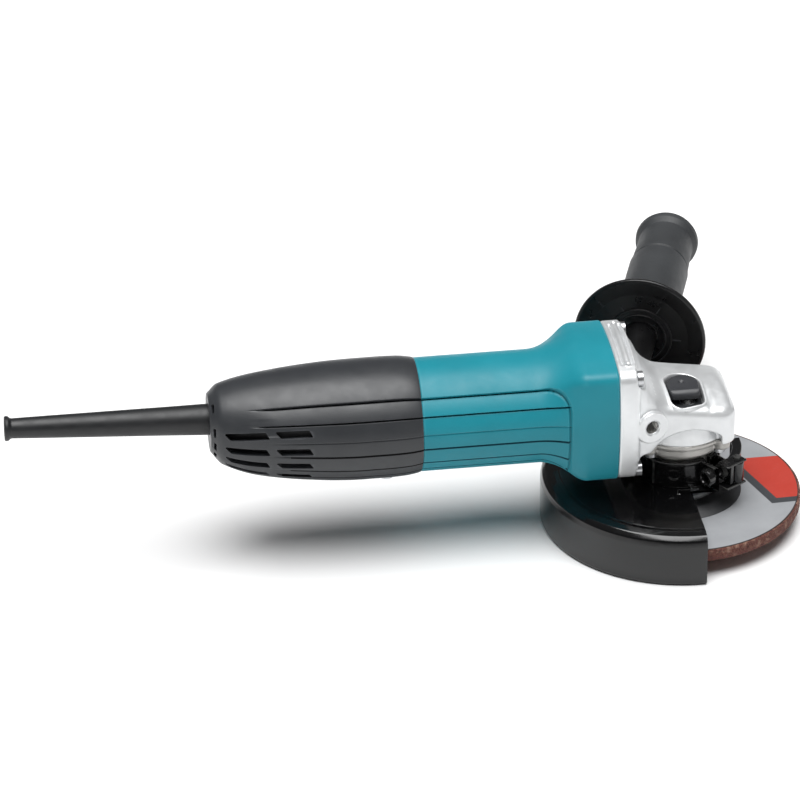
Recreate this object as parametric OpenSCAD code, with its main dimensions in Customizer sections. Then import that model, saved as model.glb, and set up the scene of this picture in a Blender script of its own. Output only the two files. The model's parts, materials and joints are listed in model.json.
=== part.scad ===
// Angle grinder for a 125 mm depressed-centre wheel.
// Row frame: origin on the spindle axis at the clamping face of the inner flange,
// +X towards the front of the gear head, +Z up along the spindle, motor axis along X.

/* [Wheel and guard] */
// Diameter of the grinding wheel
wheel_d = 125; // [120:1:125]
// Thickness of the grinding wheel
wheel_t = 6; // [5:0.5:6]
// Height by which the wheel's centre stands above its rim
wheel_rise = 4.4; // [3.6:0.2:4.4]
// Outer radius of the wheel guard
guard_r = 69.5; // [69:0.5:71]
// Height of the guard from its lower rim to the top of its plate
guard_h = 27.6; // [26:0.2:28]

/* [Body] */
// Height of the motor axis above the wheel's clamping face
axis_z = 50; // [50:0.5:51]
// Radius of the motor housing's barrel
barrel_r = 28.5; // [28.5:0.1:29.5]
// Half-width of the square collar where the motor housing meets the gear housing
collar_half = 34; // [34:0.2:35]
// Corner radius of that collar
collar_corner = 19; // [17:0.5:20]
// Length of the cord guard outside the rear cover
cord_guard_l = 99; // [80:1:110]
// Rise of the cord guard towards its free end, in degrees
cord_guard_tilt = 1.9; // [0:0.1:3]

/* [Side handle] */
// Forward lean of the side handle, in degrees
handle_lean = 18; // [15:0.5:20]
// Radius of the side handle's grip
handle_grip_r = 15.5; // [13:0.5:16]
// Radius of the side handle's hand guard
handle_disc_r = 34; // [28:0.5:35]

/* [Gears] */
// Number of teeth on the bevel gear
gear_teeth = 37; // [35:2:37]
// Number of teeth on the pinion
pinion_teeth = 11; // [11:1:12]

/* [Hidden] */
$fn = 64;
facet = 32;                  // facets round each child of a hull
eps = 0.01;

// Stations along the motor axis, from the front
flange_front = -24.5;        // front face of the gear housing's flange
joint_front = -36;           // gear housing to motor housing
collar_end = -53;            // where the collar's flare is full
flare_end = -72;             // where the flare has run out into the barrel
joint_rear = -133;           // motor housing to rear cover
tail_end = -238.5;           // rear face of the rear cover
shell_wall = 3;              // wall of the motor housing
motor_inner_r = barrel_r - shell_wall;
cover_inner_r = barrel_r - 2;

// Bevel gears: both cones share the point where the two axes cross
gear_outer_r = 20;           // outer end of the teeth, from the spindle axis
gear_inner_r = 14;           // inner end of the teeth
pitch_slope = pinion_teeth / gear_teeth;
gear_tip_slope = pitch_slope - 0.045;
gear_root_slope = pitch_slope + 0.055;
pinion_tip_slope = pitch_slope + 0.04;
pinion_root_slope = pitch_slope - 0.053;
tooth_share = 0.3;           // tooth thickness as a share of the pitch
gear_back_z = 36.5;          // lower face of the bevel gear
gear_web_z = 41;             // upper face of its web
lock_hole_r = 2.7;           // holes in the web that the lock pin enters
lock_holes = 12;
lock_pin_r = 2.25;
lock_pin_at = [2, -11];      // lock pin's place, from the spindle axis
lock_travel = 2.6;

// Gear head
head_bottom = 33.9;          // gear housing to bearing box
chamber_r = 21.5;            // gear chamber inside the head
chamber_top = 48.2;
well_floor = 51.8;           // floor of the shaft lock's well
neck_r = 19;                 // bearing box neck that the guard turns on
guard_top = axis_z - 41.9;   // top face of the guard's plate
guard_t = 2;                 // guard's sheet thickness
band_clear = 0.3;            // guard band to neck
band_r = neck_r + band_clear;
band_t = 2.2;
ear_angle = -57;             // direction of the clamp's ears, from +X
lever_at = [30.6, 11.6];     // lever pin, from the spindle axis, in the clamp's own directions
lever_pin_r = 1.9;
boss_at = [-18.8, 31, 49.7]; // outer face of a side handle boss
handle_start = 31;           // side handle's hand guard, from the boss face
handle_end = 143.5;          // side handle's free end, from the boss face
m8_minor_r = 3.4;            // crest radius inside an M8 thread
m14_r = 7;                   // spindle thread

// --- shapes used more than once -------------------------------------------

// Turns a shape drawn along +Z onto the motor axis, so that its z becomes x
module on_motor_axis() {
    translate([0, 0, axis_z]) rotate([0, 90, 0]) children();
}

// Ring between two radii, standing on z = 0
module ring(inner, outer, height) {
    difference() {
        cylinder(r = outer, h = height);
        translate([0, 0, -eps]) cylinder(r = inner, h = height + 2 * eps);
    }
}

// Ring along the motor axis between two stations
module axis_ring(from_x, to_x, inner, outer) {
    on_motor_axis() translate([0, 0, from_x]) ring(inner, outer, to_x - from_x);
}

// Cylinder along the motor axis between two stations
module axis_rod(from_x, to_x, radius) {
    on_motor_axis() translate([0, 0, from_x]) cylinder(r = radius, h = to_x - from_x);
}

// Square with round corners, as straight and round pieces
module round_square(half_a, half_b, corner) {
    square([2 * (half_a - corner), 2 * half_b], center = true);
    square([2 * half_a, 2 * (half_b - corner)], center = true);
    for (side_a = [-1, 1], side_b = [-1, 1])
        translate([side_a * (half_a - corner), side_b * (half_b - corner)]) circle(r = corner);
}

// Slice of a circle between two angles, as a polygon wide enough to cut with
module wedge(radius, from_a, to_a) {
    step = (to_a - from_a) / 6;
    polygon(concat([[0, 0]], [for (i = [0:6]) radius * [cos(from_a + i * step), sin(from_a + i * step)]]));
}

// Part of a ring between two angles
module arc_bar(inner, outer, from_a, to_a, height) {
    linear_extrude(height) intersection() {
        difference() {
            circle(r = outer);
            circle(r = inner);
        }
        wedge(2 * outer, from_a, to_a);
    }
}

// Outer race of a ball bearing, with its groove
module race_outer(inner, outer, height, ball_ring, ball) {
    difference() {
        ring(inner, outer, height);
        translate([0, 0, height / 2]) rotate_extrude() translate([ball_ring, 0]) circle(r = ball + 0.08);
    }
}

// Inner race of a ball bearing and its balls
module race_inner(inner, outer, height, ball_ring, ball, balls) {
    ring(inner, outer, height);
    for (i = [0:balls - 1])
        rotate(360 * i / balls) translate([ball_ring, 0, height / 2]) sphere(r = ball);
}

// Pan-head screw pointing down, its head's underside at z = 0
module pan_screw(shank, length, head, head_h) {
    difference() {
        union() {
            translate([0, 0, -length]) cylinder(r = shank, h = length + eps);
            cylinder(r = head, h = head_h);
        }
        for (turn = [0, 90])
            rotate(turn) translate([-head * 0.55, -0.5, head_h - 1.2]) cube([head * 1.1, 1, 2]);
    }
}

// Radial fingers: the teeth of a gear seen along its axis
module fingers(count, inner, outer, first) {
    half = tooth_share * 180 / count;
    for (i = [0:count - 1])
        rotate(first + 360 * i / count)
            polygon([
                inner * [cos(half), -sin(half)], outer * [cos(half), -sin(half)],
                outer * [cos(half), sin(half)], inner * [cos(half), sin(half)]
            ]);
}

// Places a child at a side handle boss: its z leaves the boss, side is -1 or 1 in Y
module at_boss(side) {
    translate([boss_at[0], side * boss_at[1], boss_at[2]])
        rotate([0, 0, side * (90 - handle_lean)]) rotate([0, 90, 0]) children();
}

// Places a child at the guard clamp: x leads out through the gap, z stays up
module at_clamp() {
    rotate(ear_angle) children();
}

// --- casing ------------------------------------------------------------------

module motor_housing() {
    color("teal") difference() {
        union() {
            axis_rod(joint_rear, flare_end + eps, barrel_r);
            hull() {
                on_motor_axis() translate([0, 0, flare_end]) cylinder(r = barrel_r, h = 1, $fn = 48);
                on_motor_axis() translate([0, 0, collar_end])
                    linear_extrude(1) round_square(collar_half, collar_half, collar_corner, $fn = 48);
            }
            on_motor_axis() translate([0, 0, collar_end + eps])
                linear_extrude(joint_front - collar_end - eps)
                    round_square(collar_half, collar_half, collar_corner);
            axis_ring(-136, joint_rear + 1, 9, cover_inner_r - 0.2);
            axis_ring(-142, joint_rear, 11.2, 13.5);
        }
        axis_rod(joint_rear - 10, joint_rear + 2, 11.2);
        axis_rod(joint_rear, joint_front + 1, motor_inner_r);
        axis_rod(collar_end, joint_front + 1, 30);
        // windows for the cooling air in the rear wall
        for (turn = [45:90:315])
            on_motor_axis() rotate(turn) translate([15, -5, -137]) cube([9, 10, 5]);
        // slot for the switch rod in the rear wall, and slot for the button's foot
        translate([-137, 23.5, axis_z - 3.5]) cube([5, 1.95, 7]);
        translate([-105.5, 22, axis_z - 3.2]) cube([18.5, 9, 6.4]);
        for (side_y = [-1, 1], side_z = [-1, 1])
            translate([0, side_y * 25.5, side_z * 25.5]) axis_rod(-50, joint_front + 1, 2.1);
    }
}

// Outer sections of the rear cover: station, radius, rise of the centre
tail_sections = [[-133, 29.2, 0], [-162, 30.2, 0], [-188, 28.9, 0.5], [-213.6, 25.3, 1.4],
    [-231.7, 19.3, 3.2], [-238.5, 13.8, 4.2]];

module tail_slice(section) {
    on_motor_axis() translate([-section[2], 0, section[0] - 0.05])
        cylinder(r = section[1], h = 0.05, $fn = 48);
}

module rear_cover() {
    vent_rise = [-13.5, -6, 1.5, 9.5];
    color("dimgray") difference() {
        for (i = [0:len(tail_sections) - 2])
            hull() {
                tail_slice(tail_sections[i]);
                tail_slice(tail_sections[i + 1]);
            }
        on_motor_axis() rotate_extrude() polygon([[0, joint_rear + 1], [cover_inner_r, joint_rear + 1],
            [cover_inner_r, -185], [22.5, -211], [16.5, -229.5], [11, -236], [0, -236]]);
        // two slots in each row, through both sides
        for (rise = vent_rise, slot = [[-230, 21], [-206, 18]])
            translate([slot[0], -35, axis_z + rise - 1.6]) cube([slot[1], 70, 3.2]);
        // mouth for the cord guard, and a pocket for its collar
        cord_guard_axis() translate([0, 0, -4]) cylinder(r = 7.9, h = 20);
        cord_guard_axis() translate([0, 0, -7]) cylinder(r = 10.3, h = 4.4);
        // screw holes in the underside, with sunk seats for the heads
        for (side = [-1, 1])
            translate([-150, side * 12, 0]) {
                cylinder(r = 4.4, h = axis_z - 24.8);
                cylinder(r = 2.1, h = axis_z - 10);
            }
    }
}

module cord_guard_axis() {
    translate([tail_end, 0, axis_z + 6.2]) rotate([0, -90 + cord_guard_tilt, 0]) children();
}

module cord_guard() {
    color("black") cord_guard_axis() difference() {
        rotate_extrude() polygon([[0, -6.5], [10, -6.5], [10, -2.8], [7.8, -2.8], [7.8, 0],
            [6.15, 56], [5, cord_guard_l - 2.4], [6.3, cord_guard_l - 1.6], [6.3, cord_guard_l],
            [0, cord_guard_l]]);
        translate([0, 0, -10]) cylinder(r = 3.7, h = cord_guard_l + 20);
    }
}

module cord_clamp() {
    color("dimgray") difference() {
        translate([-223, -13, axis_z - 0.5]) cube([9, 26, 4]);
        translate([-224, 0, axis_z + 6.5]) rotate([0, 90, 0]) cylinder(r = 3.6, h = 11);
        for (side = [-1, 1])
            translate([-218.5, side * 9.5, axis_z - 2]) cylinder(r = 1.8, h = 8);
    }
}

module cord_clamp_screws() {
    color("silver") for (side = [-1, 1])
        translate([-218.5, side * 9.5, axis_z + 3.5]) pan_screw(1.7, 9, 2.9, 2);
}

module rear_cover_screws() {
    color("silver") for (side = [-1, 1])
        translate([-150, side * 12, axis_z - 24.8]) mirror([0, 0, 1]) pan_screw(2, 8, 3.4, 2.2);
}

module baffle_plate() {
    color("black") axis_ring(-52.9, -51.4, 19, 29.9);
}

module stator_core() {
    color("darkgray") difference() {
        axis_rod(-102, -60, motor_inner_r);
        axis_rod(-103, -59, 17.6);
        for (side = [-1, 1])
            translate([-103, side > 0 ? 23.4 : -30, axis_z - 20]) cube([44, 6.6, 40]);
        for (turn = [0, 180])
            on_motor_axis() rotate(turn) translate([0, 0, -103]) arc_bar(17, 22.2, -38, 38, 44);
    }
}

module stator_windings() {
    color("chocolate") for (turn = [0, 180])
        on_motor_axis() rotate(turn) {
            translate([0, 0, -108]) arc_bar(17.9, 22, -36, -3, 53);
            translate([0, 0, -108]) arc_bar(17.9, 22, 3, 36, 53);
            translate([0, 0, -108]) arc_bar(18.2, 22.4, 35, 90, 5.5);
            translate([0, 0, -108]) arc_bar(18.2, 22.4, -90, -35, 5.5);
            translate([0, 0, -59.5]) arc_bar(18.2, 22.4, 35, 90, 5);
            translate([0, 0, -59.5]) arc_bar(18.2, 22.4, -90, -35, 5);
        }
}

module both_brushes() {
    for (turn = [0, 180])
        on_motor_axis() rotate(turn) translate([0, 0, -122.5]) children();
}

module brush_holders() {
    color("goldenrod") both_brushes() difference() {
        translate([13, -4.2, -6.5]) cube([12, 8.4, 13]);
        translate([12, -3.1, -4.6]) cube([11.8, 6.2, 9.2]);
    }
}

module carbon_brushes() {
    color("black") both_brushes() translate([11.55, -3, -4.5]) cube([8.2, 6, 9]);
}

module brush_springs() {
    color("silver") both_brushes() translate([19.8, 0, 0]) rotate([0, 90, 0]) ring(1.6, 2.6, 3.9);
}

module switch_body() {
    color("black") difference() {
        translate([-186, -8, axis_z - 12]) cube([34, 16, 24]);
        translate([-187, -9, axis_z + 4]) cube([8, 18, 9]);
    }
}

module terminal_block() {
    color("beige") difference() {
        translate([-208, -9, axis_z - 12]) cube([18, 18, 10]);
        for (side = [-1, 1])
            translate([-199, side * 4.5, axis_z - 6]) cylinder(r = 2, h = 6);
    }
}

// --- gear head ------------------------------------------------------------------

// Head outline from the side (x, z)
module head_side() {
    polygon([[-30, head_bottom], [24.8, head_bottom], [24.8, 49], [23.6, 52.4], [21, 54.8],
        [10, 57.2], [0, 58.5], [-10, 60.4], [-15, 63], [-19, 68], [-23, 77], [-30, 84]]);
}

// Half of the head's outline from above (x, y)
module head_plan() {
    for (side = [0, 1]) mirror([0, side])
        polygon([[-30, 0], [-30, 33], [-25, 32], [-20, 28], [-15, 25.8], [-6, 24.8], [18, 24.4],
            [22, 22.6], [24.2, 19.4], [24.8, 15], [24.8, 0]]);
}

// Head outline from the front (y, z)
module head_front() {
    for (side = [0, 1]) mirror([side, 0])
        polygon([[0, head_bottom], [33, head_bottom], [33, 60], [27, 60], [24.6, 50],
            [22.5, 53.4], [16, 55.8], [8, 57.8], [0, 58.5]]);
}

module head_solid() {
    intersection() {
        translate([0, 40, 0]) rotate([90, 0, 0]) linear_extrude(80) head_side();
        translate([0, 0, head_bottom]) linear_extrude(60) head_plan();
        union() {
            rotate([90, 0, 90]) linear_extrude(30) head_front();
            translate([-15, -40, head_bottom]) cube([15 + eps, 80, 27]);
            translate([-31, -40, head_bottom]) cube([16 + eps, 80, 60]);
        }
    }
    // lower skirt round the gear chamber
    translate([0, 0, head_bottom]) cylinder(r = 25, h = 8);
}

module well_outline() {
    hull() {
        translate([1, -3.6]) circle(r = 8.4, $fn = facet);
        translate([-4.2, -3.4]) circle(r = 4.2, $fn = facet);
        translate([4.6, -15]) circle(r = 4.3, $fn = facet);
        translate([-3.7, -17.4]) circle(r = 4.4, $fn = facet);
    }
}

module button_outline() {
    hull() {
        translate([1, -3.6]) circle(r = 7.8, $fn = facet);
        translate([-3.9, -3.8]) circle(r = 3.9, $fn = facet);
        translate([5.2, -11.6]) circle(r = 3.2, $fn = facet);
        translate([-3.9, -11.6]) circle(r = 3.2, $fn = facet);
    }
}

module gear_housing() {
    color("gainsboro") difference() {
        union() {
            on_motor_axis() translate([0, 0, joint_front])
                linear_extrude(flange_front - joint_front)
                    round_square(collar_half, collar_half, collar_corner);
            head_solid();
            for (side = [-1, 1])
                at_boss(side) translate([0, 0, -16]) cylinder(r = 8.4, h = 16);
        }
        difference() {
            translate([0, 0, head_bottom - 1]) cylinder(r = chamber_r, h = chamber_top - head_bottom + 1);
            translate([0, 0, 44.5]) cylinder(r = 7.4, h = 10);
        }
        translate([0, 0, 44]) cylinder(r = 6, h = 5.6);
        // tunnel for the pinion, seat for its bearing, recess for the retainer
        on_motor_axis() rotate_extrude()
            polygon([[0, -10.4], [5.4, -10.4], [5.6, -13], [7.8, -21], [7.8, -25], [0, -25]]);
        axis_rod(-33, -23.9, 15);
        axis_rod(joint_front - 1, -34.4, 29);
        axis_rod(joint_front, -32.9, 15);
        // well and guide bore of the shaft lock
        translate([0, 0, well_floor]) linear_extrude(12) well_outline();
        translate([lock_pin_at[0], lock_pin_at[1], 44]) cylinder(r = lock_pin_r + 0.05, h = 9);
        // threaded sockets of the side handle, with room for its nose in front of the flange
        for (side = [-1, 1])
            at_boss(side) {
                translate([0, 0, -14]) cylinder(r = m8_minor_r, h = 15);
                cylinder(r = 8.9, h = 8);
            }
        for (side_y = [-1, 1], side_z = [-1, 1])
            translate([0, side_y * 25.5, side_z * 25.5]) axis_rod(joint_front - 1, flange_front + 1, 2.1);
        for (side_y = [-1, 1], side_z = [-1, 1])
            translate([0, side_y * 25.5, side_z * 25.5]) axis_rod(flange_front - 2, -16, 4.6);
        for (turn = [45:90:315])
            rotate(turn) translate([24.6, 0, head_bottom - 1]) cylinder(r = 1.6, h = 12);
    }
}

module gear_housing_screws() {
    color("gray") for (side_y = [-1, 1], side_z = [-1, 1])
        translate([0, side_y * 25.5, side_z * 25.5])
            on_motor_axis() translate([0, 0, flange_front - 2]) pan_screw(2, 20, 4, 2.8);
}

// Round flange of the bearing box with a lug at each screw
module bearing_box() {
    color("silver") difference() {
        union() {
            translate([0, 0, 9]) cylinder(r = neck_r, h = 18);
            translate([0, 0, 26.6]) cylinder(r = 24.4, h = head_bottom - 26.6);
            for (turn = [45:90:315])
                rotate(turn) translate([24.6, 0, 28.4]) cylinder(r = 4, h = head_bottom - 28.4);
        }
        translate([0, 0, 24.5]) cylinder(r = 17.5, h = 12);
        translate([0, 0, 8]) cylinder(r = 14.5, h = 18);
        for (turn = [45:90:315])
            rotate(turn) translate([24.6, 0, 26]) {
                cylinder(r = 1.9, h = 10);
                cylinder(r = 3.3, h = 2.4);
            }
    }
}

module bearing_box_screws() {
    color("gray") for (turn = [45:90:315])
        rotate(turn) translate([24.6, 0, 28.4]) mirror([0, 0, 1]) pan_screw(1.55, 12, 3, 2);
}

module labyrinth_ring() {
    color("dimgray") translate([0, 0, 19.5]) ring(9.8, 14.5, 5);
}

module spindle_bearing_outer() {
    color("silver") translate([0, 0, 24.5]) race_outer(14.7, 17.5, 11, 12.5, 3);
}

module spindle_bush() {
    color("goldenrod") translate([0, 0, 44.6]) ring(4.05, 6, 5);
}

module pinion_bearing_outer() {
    color("silver") on_motor_axis() translate([0, 0, -33]) race_outer(11.7, 15, 9, 10, 2.4);
}

module rear_bearing_outer() {
    color("silver") on_motor_axis() translate([0, 0, -142]) race_outer(7.8, 9.5, 6, 6.5, 1.95);
}

module rear_bearing_boot() {
    color("black") axis_ring(-142, -136, 9.5, 11.2);
}

module bearing_retainer() {
    color("silver") difference() {
        axis_ring(-34.4, -33, 10.6, 15);
        axis_rod(-36, -34.4, 29);
    }
    color("silver") axis_ring(-35.8, -34.4, 10.6, 28.8);
}

// --- shaft lock -------------------------------------------------------------------

module lock_seal() {
    color("black") difference() {
        translate([0, 0, well_floor]) linear_extrude(0.6) well_outline();
        translate([lock_pin_at[0], lock_pin_at[1], well_floor - 1]) cylinder(r = 4.2, h = 3);
    }
}

module lock_button() {
    color("black") difference() {
        intersection() {
            translate([0, 0, 55.2]) linear_extrude(6) button_outline();
            // sloping top face
            translate([-20, 0, 0]) rotate([90, 0, 90]) linear_extrude(40)
                polygon([[-20, 50], [12, 50], [12, 58.6], [6, 59.4], [-7, 59.2], [-8.4, 58.9],
                    [-13, 57.4], [-20, 55.2]]);
        }
        translate([lock_pin_at[0], lock_pin_at[1], 50]) cylinder(r = lock_pin_r, h = 7.2);
    }
}

module lock_pin() {
    color("silver") translate([lock_pin_at[0], lock_pin_at[1], 41.8])
        cylinder(r = lock_pin_r, h = 57.2 - 41.8);
}

module lock_spring() {
    color("silver") translate([lock_pin_at[0], lock_pin_at[1], well_floor])
        ring(lock_pin_r + 0.3, lock_pin_r + 1.1, 55.2 - well_floor);
}

// --- spindle ------------------------------------------------------------------------

module spindle() {
    color("silver") rotate_extrude() polygon([[0, -17], [6.2, -17], [m14_r, -16.2], [m14_r, 5.5],
        [9.5, 5.5], [9.5, 24.5], [7.5, 24.5], [7.5, gear_back_z], [7, gear_back_z], [7, 42.8],
        [4, 42.8], [4, 48.9], [3.4, 49.4], [0, 49.4]]);
}

module bevel_gear() {
    tip_cone = [[0, axis_z], [gear_outer_r + 0.2, axis_z - gear_tip_slope * (gear_outer_r + 0.2)]];
    color("gray") difference() {
        union() {
            rotate_extrude() polygon([[7, gear_back_z], [18.5, gear_back_z], [gear_outer_r + 0.2, 38.4],
                [gear_outer_r + 0.2, axis_z - gear_root_slope * (gear_outer_r + 0.2)],
                [gear_inner_r, axis_z - gear_root_slope * gear_inner_r],
                [gear_inner_r, gear_web_z], [8.3, gear_web_z], [8.3, 41.5], [7, 41.5]]);
            intersection() {
                translate([0, 0, 40]) linear_extrude(10)
                    fingers(gear_teeth, gear_inner_r - 2, gear_outer_r + 3, 180 + 180 / gear_teeth);
                rotate_extrude() polygon([[gear_inner_r, 41], [gear_outer_r, 41],
                    [gear_outer_r, axis_z - gear_tip_slope * gear_outer_r],
                    [gear_inner_r, axis_z - gear_tip_slope * gear_inner_r]]);
            }
        }
        for (i = [0:lock_holes - 1])
            rotate(360 * i / lock_holes) translate([lock_pin_at[0], lock_pin_at[1], gear_back_z - 1])
                cylinder(r = lock_hole_r, h = 6);
    }
}

module gear_clip() {
    color("silver") difference() {
        translate([0, 0, 41.6]) ring(7, 8.8, 1);
        translate([0, -1.5, 41]) cube([12, 3, 3]);
    }
}

module spindle_bearing_inner() {
    color("silver") translate([0, 0, 24.5]) race_inner(7.5, 10.3, 11, 12.5, 3, 9);
}

module inner_flange() {
    color("dimgray") difference() {
        rotate_extrude()
            polygon([[m14_r, -3], [11, -3], [11, 0], [21, 0], [21, 2.4], [18, 5.5], [m14_r, 5.5]]);
        rotate_extrude() polygon([[12.5, -1], [16, -1], [16, 0.8], [12.5, 0.8]]);
    }
}

module grinding_wheel() {
    rim_top = -wheel_rise;
    color("saddlebrown") rotate_extrude() polygon([[12.6, 0], [22.5, 0], [26, -0.9], [32, rim_top],
        [wheel_d / 2 - 0.4, rim_top], [wheel_d / 2, rim_top - 0.5], [wheel_d / 2, rim_top - wheel_t + 0.5],
        [wheel_d / 2 - 0.4, rim_top - wheel_t], [31, rim_top - wheel_t], [25, -wheel_t - 0.9],
        [22, -wheel_t], [12.6, -wheel_t]]);
}

module wheel_label() {
    rim_top = -wheel_rise;
    color("lightgray") translate([0, 0, rim_top]) ring(32.4, wheel_d / 2 - 1, 0.3);
}

module wheel_bore_ring() {
    color("silver") translate([0, 0, -wheel_t]) ring(11.12, 12.6, wheel_t);
}

module lock_nut() {
    color("dimgray") difference() {
        rotate_extrude() polygon([[m14_r, -wheel_t - 5.6], [18.5, -wheel_t - 5.6], [20, -wheel_t - 4],
            [20, -wheel_t], [11, -wheel_t], [11, -wheel_t + 2.2], [m14_r, -wheel_t + 2.2]]);
        for (turn = [0:90:270])
            rotate(turn) translate([15, 0, -wheel_t - 6.6]) cylinder(r = 2.5, h = 4.6);
    }
}

// --- armature -------------------------------------------------------------------------

module armature_shaft() {
    color("silver") on_motor_axis() rotate_extrude() polygon([[0, -142.5], [3.5, -142.5], [3.5, -135.6],
        [5, -135], [5, -112], [6, -111], [6, -55], [5.5, -54], [5.5, -37.4], [6.6, -37.4], [6.6, -33.2],
        [5, -33.2], [5, -23.9], [2.5, -23.9], [2.5, -10.8], [0, -10.8]]);
}

module armature_core() {
    color("gray") difference() {
        axis_ring(-102, -60, 6, 17);
        for (i = [0:11])
            on_motor_axis() rotate(30 * i) translate([13.5, -0.9, -103]) cube([5, 1.8, 44]);
        for (i = [0:11])
            on_motor_axis() rotate(30 * i) translate([11.5, 0, -103]) cylinder(r = 2.1, h = 44);
    }
}

module armature_windings() {
    color("chocolate") on_motor_axis() {
        rotate_extrude()
            polygon([[6, -59.9], [13.6, -59.9], [15, -58.6], [14, -55.6], [9, -54.2], [6, -54.2]]);
        rotate_extrude()
            polygon([[6, -102.1], [13.6, -102.1], [15, -103.6], [13.5, -108], [9, -110], [6, -110]]);
    }
    color("chocolate") for (i = [0:11])
        on_motor_axis() rotate(30 * i) translate([11.5, 0, -102]) cylinder(r = 2, h = 42);
}

module commutator() {
    color("peru") difference() {
        union() {
            axis_ring(-131, -114, 5, 11.4);
            axis_ring(-114, -112, 5, 12.6);
        }
        for (i = [0:23])
            on_motor_axis() rotate(15 * i) translate([10.2, -0.25, -132]) cube([3, 0.5, 18]);
    }
}

module insulation_washer() {
    color("ivory") axis_ring(-134.6, -131.4, 5, 8);
}

module cooling_fan() {
    blades = 13;
    color("black") on_motor_axis() {
        translate([0, 0, -50.5]) ring(5.5, 9, 12.5);
        translate([0, 0, -40.4]) ring(8.9, 27.5, 1.6);
        for (i = [0:blades - 1])
            rotate(360 * i / blades) translate([9.5, 0, -50]) rotate(20) cube([17.6, 1.4, 9.7]);
    }
}

module pinion() {
    long_end = 20;
    short_end = 14;
    color("gray") difference() {
        union() {
            on_motor_axis() rotate_extrude()
                polygon([[0, -short_end], [pinion_root_slope * short_end, -short_end],
                    [pinion_root_slope * long_end, -long_end],
                    [pinion_root_slope * long_end, -long_end - 0.8],
                    [6.4, -long_end - 0.9], [6.4, -23.9], [0, -23.9]]);
            intersection() {
                on_motor_axis() translate([0, 0, -long_end])
                    linear_extrude(long_end - short_end) fingers(pinion_teeth, 2, 12, 0);
                on_motor_axis() rotate_extrude()
                    polygon([[0, -short_end], [pinion_tip_slope * short_end, -short_end],
                        [pinion_tip_slope * long_end, -long_end], [0, -long_end]]);
            }
        }
        axis_rod(-30, -10, 2.5);
    }
}

module pinion_nut() {
    color("silver") difference() {
        on_motor_axis() translate([0, 0, -13.9]) cylinder(r = 4.4, h = 2.8, $fn = 6);
        axis_rod(-15, -10, 2.5);
    }
}

module pinion_bearing_inner() {
    color("silver") on_motor_axis() translate([0, 0, -33]) race_inner(5, 8.3, 9, 10, 2.4, 8);
}

module rear_bearing_inner() {
    color("silver") on_motor_axis() translate([0, 0, -142]) race_inner(3.5, 5.2, 6, 6.5, 1.95, 7);
}

// --- slide switch --------------------------------------------------------------------

module switch_button() {
    color("black") {
        difference() {
            on_motor_axis() rotate(90) translate([0, 0, -112])
                arc_bar(barrel_r + 0.3, barrel_r + 3.1, -13, 13, 32);
            for (i = [0:4])
                on_motor_axis() rotate(90) translate([0, 0, -107 + 3.6 * i])
                    arc_bar(barrel_r + 2.3, barrel_r + 4, -14, 14, 1.6);
        }
        translate([-104.6, 25.15, axis_z - 2.8]) cube([9.4, barrel_r - 24.35, 5.6]);
    }
}

module switch_rod() {
    color("dimgray") {
        translate([-158, 23.75, axis_z - 2.8]) cube([66, 1.4, 5.6]);
        translate([-158, 8.4, axis_z - 2.8]) cube([3.5, 16, 5.6]);
    }
}

// --- guard ------------------------------------------------------------------------------

module wheel_guard() {
    rim_z = guard_top - guard_h;
    round_r = 4;
    color("black") difference() {
        rotate_extrude() {
            difference() {
                union() {
                    translate([band_r, guard_top - guard_t]) square([guard_r - round_r - band_r, guard_t]);
                    translate([guard_r - guard_t, rim_z]) square([guard_t, guard_h - round_r]);
                    translate([guard_r - round_r, guard_top - round_r]) intersection() {
                        circle(r = round_r);
                        square(round_r);
                    }
                    translate([guard_r - 3.4, rim_z]) square([3.4, 1.6]);
                }
                translate([guard_r - round_r, guard_top - round_r]) circle(r = round_r - guard_t);
            }
        }
        translate([2.4, -100, rim_z - 1]) cube([200, 200, guard_h + 2]);
    }
}

module guard_band() {
    color("black") difference() {
        union() {
            translate([0, 0, guard_top]) ring(band_r, band_r + band_t, 14.6);
            translate([0, 0, guard_top - guard_t]) ring(band_r, band_r + 4, guard_t);
            // tabs that carry the lever's pin
            for (tab_z = [0, 12.6])
                at_clamp() translate([band_r + 7.7, 1.6, guard_top + tab_z]) cube([7.3, 13.4, 1.1]);
            at_clamp() for (side = [-1, 1])
                translate([band_r + 0.5, side > 0 ? 1.6 : -3.6, guard_top]) cube([13.2, 2, 13.5]);
        }
        at_clamp() translate([band_r - 2, -1.6, guard_top + eps]) cube([16, 3.2, 20]);
        at_clamp() translate([band_r + 7.5, 0, guard_top + 7.4]) rotate([90, 0, 0])
            cylinder(r = 2.6, h = 20, center = true);
        at_clamp() translate([lever_at[0], lever_at[1], guard_top - 1]) cylinder(r = lever_pin_r, h = 17);
        translate([-80, -40, guard_top - guard_t - 1]) cube([82.4, 80, guard_t + 1]);
    }
}

module clamp_screw() {
    color("black") at_clamp() translate([band_r + 7.5, -3.6, guard_top + 7.4]) rotate([90, 0, 0])
        difference() {
            union() {
                translate([0, 0, -11.2]) cylinder(r = 2.5, h = 11.2);
                cylinder(r = 4.6, h = 3.6);
            }
            translate([0, 0, 1.4]) cylinder(r = 2.3, h = 4, $fn = 6);
        }
}

module clamp_nut() {
    color("gray") at_clamp() translate([band_r + 7.5, 3.6, guard_top + 7.4]) rotate([-90, 0, 0])
        difference() {
            cylinder(r = 4.5, h = 3.4, $fn = 6);
            translate([0, 0, -1]) cylinder(r = 2.5, h = 6);
        }
}

module lever_pin() {
    color("gray") at_clamp() translate([lever_at[0], lever_at[1], guard_top])
        cylinder(r = lever_pin_r, h = 14.9);
}

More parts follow.
